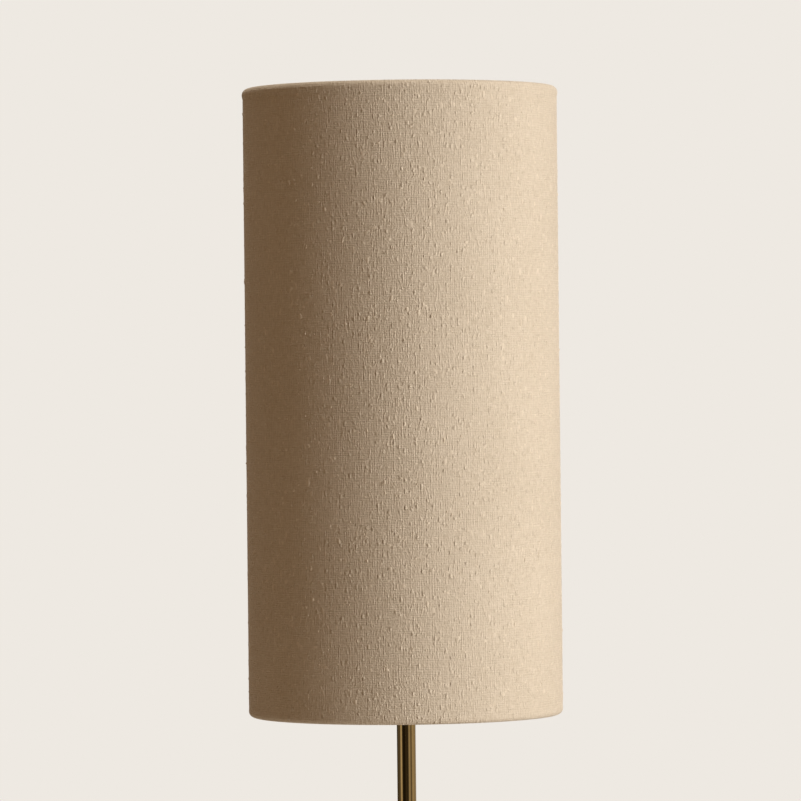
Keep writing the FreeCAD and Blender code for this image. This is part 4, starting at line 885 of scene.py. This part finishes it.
class LAMP_OT_shade_cloth(bpy.types.Operator):
    """Makes the linen of the shade, with its rolled hems, its seam and its slubs"""

    bl_idname = "lamp.shade_cloth"
    bl_label = "Shade cloth"

    def execute(self, context):
        settings = context.scene.lamp_shade
        points, walls, outside = cloth_profile(settings.rows)
        around = 2 * math.pi * SHADE_RADIUS
        along = sum(math.dist(a, b) for a, b in zip(points, points[1:]))
        weave, yarn = linen(settings, around, along), slub_linen(settings)
        cloth = profile_object("shade_cloth", points, [(w, 0, 0) for w in walls])
        run_tree(
            cloth, lathe_tree(), Segments=settings.columns, Start_Angle=math.pi / 2, Ripple=settings.ripple,
            Material=weave,
        )
        outwards(cloth.data)

        slubs = into_scene("shade_slubs", cloth.data.copy())
        run_tree(slubs, slub_tree(), Density=settings.slubs, Material=yarn)
        finish_piece(slubs, "shade")

        strip = seam_strip(outside, settings.seam, SEAM_THICKNESS)
        strip.data.materials.append(yarn)
        finish_piece(strip, "shade")

        finish_piece(cloth, "shade", crease=60.0)
        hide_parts("shade_fabric")
        return {"FINISHED"}


# Small fittings


def finish_of(node):
    """The material that the finishes gave a node of the frame."""
    return frame["nodes"][node].material_slots[0].material


def threaded(radius, bottom, top, pitch, chamfer):
    """The rows of a threaded shank, each with its share of the thread, which runs out at the ends."""
    levels = np.linspace(bottom, top - chamfer, round(ROWS_TO_A_PITCH * (top - bottom) / pitch))
    shares = np.clip(np.minimum(levels - bottom, top - chamfer - levels) / pitch, 0, 1)
    return [(radius, z, 0, share, 0) for z, share in zip(levels, shares)] + [(radius - chamfer, top, 0, 0, 0)]


def turn_piece(name, rows, material, **values):
    """A piece turned about Z. A row is a radius and a level, and may add its shares of ripple, thread and
    flutes."""
    thing = profile_object(name, [row[:2] for row in rows], [tuple(row[2:]) or (0, 0, 0) for row in rows])
    run_tree(thing, lathe_tree(), Material=material, **values)
    outwards(thing.data)
    return thing


class LAMP_OT_harp_stud(bpy.types.Operator):
    """Makes the stud on top of the harp: a riveted head, a flange for the shade's hub, and a cut thread"""

    bl_idname = "lamp.harp_stud"
    bl_label = "Harp stud"

    def execute(self, context):
        pitch = context.scene.lamp_fittings.stud_pitch
        low, top, soft = STUD_LOW.z, STUD_HIGH.z, 0.3 * MM
        hub, flange = top - STUD_THREAD, STUD_HIGH.x
        rows = []
        for turn in np.radians(np.arange(0, 91, 15)):
            rise = 0.8 * STUD_RIVET * (1 - math.cos(turn))
            rows.append((STUD_RIVET_RADIUS * math.sin(turn), low + rise))
        rows += [
            (STUD_RIVET_RADIUS, low + STUD_RIVET),
            (STUD_SHANK, low + STUD_RIVET),
            (STUD_SHANK, hub - STUD_FLANGE),
            (flange - soft, hub - STUD_FLANGE),
            (flange, hub - STUD_FLANGE + soft),
            (flange, hub - soft),
            (flange - soft, hub),
        ]
        rows += threaded(STUD_RADIUS, hub, top, pitch, 0.5 * MM) + [(0, top)]
        stud = turn_piece(
            "harp_stud_threaded", rows, finish_of("harp_stud"), Segments=48, Thread_Pitch=pitch,
            Thread_Depth=0.5 * pitch,
        )
        finish_piece(stud, "stud")
        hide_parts("harp_stud")
        return {"FINISHED"}


class LAMP_OT_finial(bpy.types.Operator):
    """Makes the finial: a ball on a waisted neck, with a knurled foot to turn it by"""

    bl_idname = "lamp.finial"
    bl_label = "Finial"

    def execute(self, context):
        knurls = context.scene.lamp_fittings.knurls
        low, centre = FINIAL_LOW.z, FINIAL_HIGH.z - FINIAL_BALL
        bore_top = low + FINIAL_BORE_DEPTH
        foot = FINIAL_FOOT - FINIAL_EDGE
        rows = [(0, bore_top), (FINIAL_BORE, bore_top), (FINIAL_BORE, low), (foot, low)]
        for turn in np.radians(np.arange(-75, 76, 15)):
            share = min(1.0, 1.6 * math.cos(turn))
            level = low + FINIAL_EDGE * (1 + math.sin(turn))
            rows.append((foot + FINIAL_EDGE * math.cos(turn), level, 0, 0, share))
        meet = -math.acos(FINIAL_NECK / FINIAL_BALL)
        neck_foot, neck_top = low + 2 * FINIAL_EDGE, centre + FINIAL_BALL * math.sin(meet)
        bead, hollow = 0.7 * MM, 0.4 * MM
        for share in np.linspace(0, 1, 13):
            radius = foot + (FINIAL_NECK - foot) * share - 4 * hollow * share * (1 - share)
            if 0.1 <= share <= 0.4:  # a bead round the foot of the neck
                radius += bead * max(0.0, math.cos(math.pi * (share - 0.25) / 0.3)) ** 0.5
            rows.append((radius, neck_foot + (neck_top - neck_foot) * share))
        for turn in np.linspace(meet, math.pi / 2, 26)[1:]:
            rows.append((max(0.0, FINIAL_BALL * math.cos(turn)), centre + FINIAL_BALL * math.sin(turn)))
        finial = turn_piece(
            "finial_knurled", rows, finish_of("finial"), Segments=6 * knurls, Flutes=knurls,
            Flute_Depth=0.3 * MM,
        )
        finish_piece(finial, "finial")
        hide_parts("finial")
        return {"FINISHED"}


class LAMP_OT_plate_screws(bpy.types.Operator):
    """Makes the screws that hold the plate under the base, with cross recesses"""

    bl_idname = "lamp.plate_screws"
    bl_label = "Plate screws"

    def execute(self, context):
        settings = context.scene.lamp_fittings
        top = SCREW_HIGH.z - SCREW_LOW.z
        rows = [(0, 0), (0.65 * SCREW_HEAD_RADIUS, 0)]
        corner, edge = SCREW_HEAD_RADIUS, 0.35 * SCREW_HEAD_RADIUS
        for turn in np.radians(np.arange(-75, 1, 15)):
            rows.append((corner - edge + edge * math.cos(turn), 0.8 * SCREW_HEAD * (1 + math.sin(turn))))
        rows += [(corner, SCREW_HEAD), (SCREW_SHANK, SCREW_HEAD)]
        rows += threaded(SCREW_SHANK, SCREW_HEAD, top, settings.screw_pitch, 0.5 * MM)[1:] + [(0, top)]
        steel = finish_of("base_plate_screws")
        screws = turn_piece(
            "base_screws_recessed", rows, steel, Segments=32, Thread_Pitch=settings.screw_pitch,
            Thread_Depth=0.5 * settings.screw_pitch,
        )
        run_tree(
            screws, screws_tree(), Screws=settings.screws, Circle=SCREW_CIRCLE, Start_Angle=-math.pi / 2,
            Level=SCREW_LOW.z, Material=steel,
        )
        finish_piece(screws, "stand")
        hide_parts("base_plate_screws")
        return {"FINISHED"}


class LAMP_OT_knob_ridges(bpy.types.Operator):
    """Makes the ridges on both faces of the switch knob"""

    bl_idname = "lamp.knob_ridges"
    bl_label = "Knob ridges"

    def execute(self, context):
        far, near = KNOB_LOW.y, KNOB_HIGH.y - KNOB_COLLAR
        ridges = place_mesh("switch_knob_ridges", [])
        run_tree(
            ridges, ridges_tree(), Ridges=context.scene.lamp_fittings.ridges, Thickness=KNOB_THICKNESS,
            Place=(0.0, (far + near) / 2, (KNOB_LOW.z + KNOB_HIGH.z) / 2), Material=finish_of("switch_knob"),
        )
        finish_piece(ridges, "switch")
        return {"FINISHED"}


# Stage


def stage_world(settings):
    """A world that shows a plain pale backdrop, lights the lamp softly from all round, and gives bright metal
    a studio to reflect: the pale backdrop behind it, and a dim room with two narrow windows in front."""
    world = bpy.data.worlds.new("studio")
    bpy.context.scene.world = world
    world.use_nodes = True
    tree = world.node_tree
    tree.nodes.clear()
    way = add(tree, "ShaderNodeSeparateXYZ", {0: add(tree, "ShaderNodeTexCoord").outputs["Generated"]})
    front = add(tree, "ShaderNodeMath", {0: way.outputs[1], 1: -1.0}, operation="MULTIPLY")
    angle = add(tree, "ShaderNodeMath", {0: way.outputs[0], 1: front}, operation="ARCTAN2")
    share = add(tree, "ShaderNodeMapRange", {0: angle, 1: -math.pi, 2: math.pi})
    room = add(tree, "ShaderNodeValToRGB", {0: share})
    stops = [  # degrees to the right of the camera's side, and brightness
        (-180, 0.30), (-150, 0.06), (-120, 0.05), (-108, 0.13), (-90, 0.04), (-78, 0.30), (-62, 0.60),
        (-50, 0.03), (-34, 0.014), (-20, 0.012), (-8, 0.04), (20, 0.03), (36, 0.42), (48, 0.26), (62, 0.06),
        (76, 0.40), (96, 0.40), (112, 0.28), (140, 0.34), (180, 0.42),
    ]
    ramp = room.color_ramp
    while len(ramp.elements) < len(stops):
        ramp.elements.new(0.5)
    for element, (degrees, light) in zip(ramp.elements, stops):
        element.position = degrees / 360 + 0.5
        tint = (1.0, 0.96, 0.90) if light > 0.1 else (1.0, 0.86, 0.66)  # the room's shadows are warm
        element.color = opaque([light * c for c in tint])
    # Above and below the windows the room is evenly pale
    height = way.outputs[2]
    up, down = (
        add(tree, "ShaderNodeMapRange", {0: height, 1: start, 2: end}, interpolation_type="SMOOTHSTEP")
        for start, end in ((0.10, 0.50), (-0.12, -0.34))
    )
    pale = add(tree, "ShaderNodeMath", {0: up, 1: down}, operation="MAXIMUM")
    room = add(tree, "ShaderNodeMix", {0: pale, 6: room, 7: (0.62, 0.60, 0.57, 1.0)}, data_type="RGBA")
    ray = add(tree, "ShaderNodeLightPath")
    inputs = {0: ray.outputs["Is Glossy Ray"], 6: opaque(settings.fill), 7: room.outputs[2]}
    colour = add(tree, "ShaderNodeMix", inputs, data_type="RGBA")
    inputs = {0: ray.outputs["Is Camera Ray"], 1: ray.outputs["Is Transmission Ray"]}
    seen = add(tree, "ShaderNodeMath", inputs, operation="MAXIMUM")
    inputs = {0: seen, 6: colour.outputs[2], 7: opaque(settings.backdrop)}
    colour = add(tree, "ShaderNodeMix", inputs, data_type="RGBA")
    light = add(tree, "ShaderNodeBackground", {"Color": colour.outputs[2], "Strength": 1.0})
    add(tree, "ShaderNodeOutputWorld", {"Surface": light})


def floor_material(settings):
    """Pale painted floor. It keeps the lamp's shadow near the lamp, and becomes the backdrop farther off."""
    material, tree, shader = new_material("floor_painted")
    place = add(tree, "ShaderNodeTexCoord").outputs["Object"]
    away = add(tree, "ShaderNodeVectorMath", {0: place}, operation="LENGTH").outputs["Value"]
    inputs = {0: away, 1: FLOOR_FADE[0], 2: FLOOR_FADE[1]}
    far = add(tree, "ShaderNodeMapRange", inputs, interpolation_type="SMOOTHERSTEP")
    ray = add(tree, "ShaderNodeLightPath")
    seen = 0.0
    for kind in ("Is Camera Ray", "Is Glossy Ray", "Is Transmission Ray"):
        seen = add(tree, "ShaderNodeMath", {0: seen, 1: ray.outputs[kind]}, operation="MAXIMUM")
    # In a mirror the floor dims towards the room, as the room's own horizon does
    inputs = {0: away, 1: FLOOR_DIM[0], 2: settings.floor_radius, 3: 1.0, 4: FLOOR_DIM[1]}
    dim = add(tree, "ShaderNodeMapRange", inputs)
    dim = add(tree, "ShaderNodeMix", {0: ray.outputs["Is Glossy Ray"], 2: 1.0, 3: dim}, data_type="FLOAT")
    glow = add(tree, "ShaderNodeEmission", {"Color": opaque(settings.backdrop), "Strength": dim.outputs[0]})
    faded = add(tree, "ShaderNodeMath", {0: seen, 1: far}, operation="MULTIPLY")
    lift = add(tree, "ShaderNodeEmission", {"Color": opaque(settings.lift), "Strength": seen})
    near = add(tree, "ShaderNodeAddShader", {0: shader, 1: lift})
    mixed = add(tree, "ShaderNodeMixShader", {0: faded, 1: near, 2: glow})
    output = next(node for node in tree.nodes if node.type == "OUTPUT_MATERIAL")
    tree.links.new(mixed.outputs[0], output.inputs[0])
    set_inputs(
        tree, shader, {"Base Color": opaque(settings.floor), "Roughness": 0.8, "Specular IOR Level": 0.2}
    )
    return material


def area_light(name, colour, power, place, target, size, glossy=True):
    """A soft area light that the camera doesn't see."""
    data = bpy.data.lights.new(name, "AREA")
    data.shape = "RECTANGLE"
    data.size, data.size_y = size
    data.energy = power
    data.color = tuple(colour)[:3]
    lamp = into_scene(name, data)
    lamp.location = place
    lamp.rotation_mode = "QUATERNION"
    lamp.rotation_quaternion = (Vector(target) - Vector(place)).to_track_quat("-Z", "Y")
    lamp.visible_camera = False
    lamp.visible_glossy = glossy


class LAMP_OT_stage(bpy.types.Operator):
    """Makes the camera, the studio light and the floor"""

    bl_idname = "lamp.stage"
    bl_label = "Stage"

    def execute(self, context):
        settings = context.scene.lamp_stage
        data = bpy.data.cameras.new("camera")
        data.lens, data.sensor_width = settings.lens, SENSOR
        camera = into_scene("camera", data)
        camera.rotation_mode = "QUATERNION"
        camera.location = settings.eye
        level = Vector((0, 1, 0)).to_track_quat("-Z", "Y")
        tilt, roll = Quaternion((1, 0, 0), settings.tilt), Quaternion((0, 0, 1), settings.roll)
        camera.rotation_quaternion = level @ tilt @ roll
        context.scene.camera = camera

        stage_world(settings)
        middle = (0, 0, (SHADE_BOTTOM + SHADE_TOP) / 2)
        right = (KEY_AWAY * math.sin(KEY_SIDE), -KEY_AWAY * math.cos(KEY_SIDE), KEY_HEIGHT)
        behind = (0.0, 3.2, 1.4)
        key = settings.key
        area_light("softbox", key, settings.key_power, right, middle, (2.5, 2.2), glossy=False)
        area_light("back_softbox", key, settings.back_power, behind, middle, (2.4, 2.2), glossy=False)
        area_light("overhead", (1.0, 0.95, 0.88), settings.top_power, (0.0, 0.0, 3.2), (0, 0, 0), (0.9, 0.9))

        work = bmesh.new()
        bmesh.ops.create_circle(work, cap_ends=True, segments=96, radius=settings.floor_radius)
        mesh = bpy.data.meshes.new("floor")
        work.to_mesh(mesh)
        work.free()
        mesh.materials.append(floor_material(settings))
        into_scene("floor", mesh)

        context.scene.view_settings.view_transform = "Standard"
        return {"FINISHED"}


class LAMP_PT_panel(bpy.types.Panel):
    """Lists the steps that dress the lamp"""

    bl_idname = "LAMP_PT_panel"
    bl_label = "Column floor lamp"
    bl_space_type = "VIEW_3D"
    bl_region_type = "UI"
    bl_category = "Lamp"

    def draw(self, context):
        for step in STEPS:
            self.layout.operator(step.bl_idname)
        for group in SETTINGS:
            settings = getattr(context.scene, group)
            column = self.layout.column()
            for name in type(settings).__annotations__:
                column.prop(settings, name)


STEPS = (
    LAMP_OT_stage,
    LAMP_OT_finishes,
    LAMP_OT_shade_cloth,
    LAMP_OT_harp_stud,
    LAMP_OT_finial,
    LAMP_OT_plate_screws,
    LAMP_OT_knob_ridges,
)
SETTINGS = {
    "lamp_shade": LampShadeSettings,
    "lamp_brass": LampBrassSettings,
    "lamp_fittings": LampFittingSettings,
    "lamp_stage": LampStageSettings,
}


def register():
    """Registers the settings, the steps and the panel."""
    for group in (*SETTINGS.values(), *STEPS, LAMP_PT_panel):
        bpy.utils.register_class(group)
    for name, group in SETTINGS.items():
        setattr(bpy.types.Scene, name, PointerProperty(type=group))


def unregister():
    """Takes them away again."""
    for name in SETTINGS:
        delattr(bpy.types.Scene, name)
    for group in reversed((*SETTINGS.values(), *STEPS, LAMP_PT_panel)):
        bpy.utils.unregister_class(group)


def main():
    """Dresses the frame."""
    register()
    for step in STEPS:
        family, name = step.bl_idname.split(".")
        getattr(getattr(bpy.ops, family), name)()


if __name__ == "__main__":
    main()
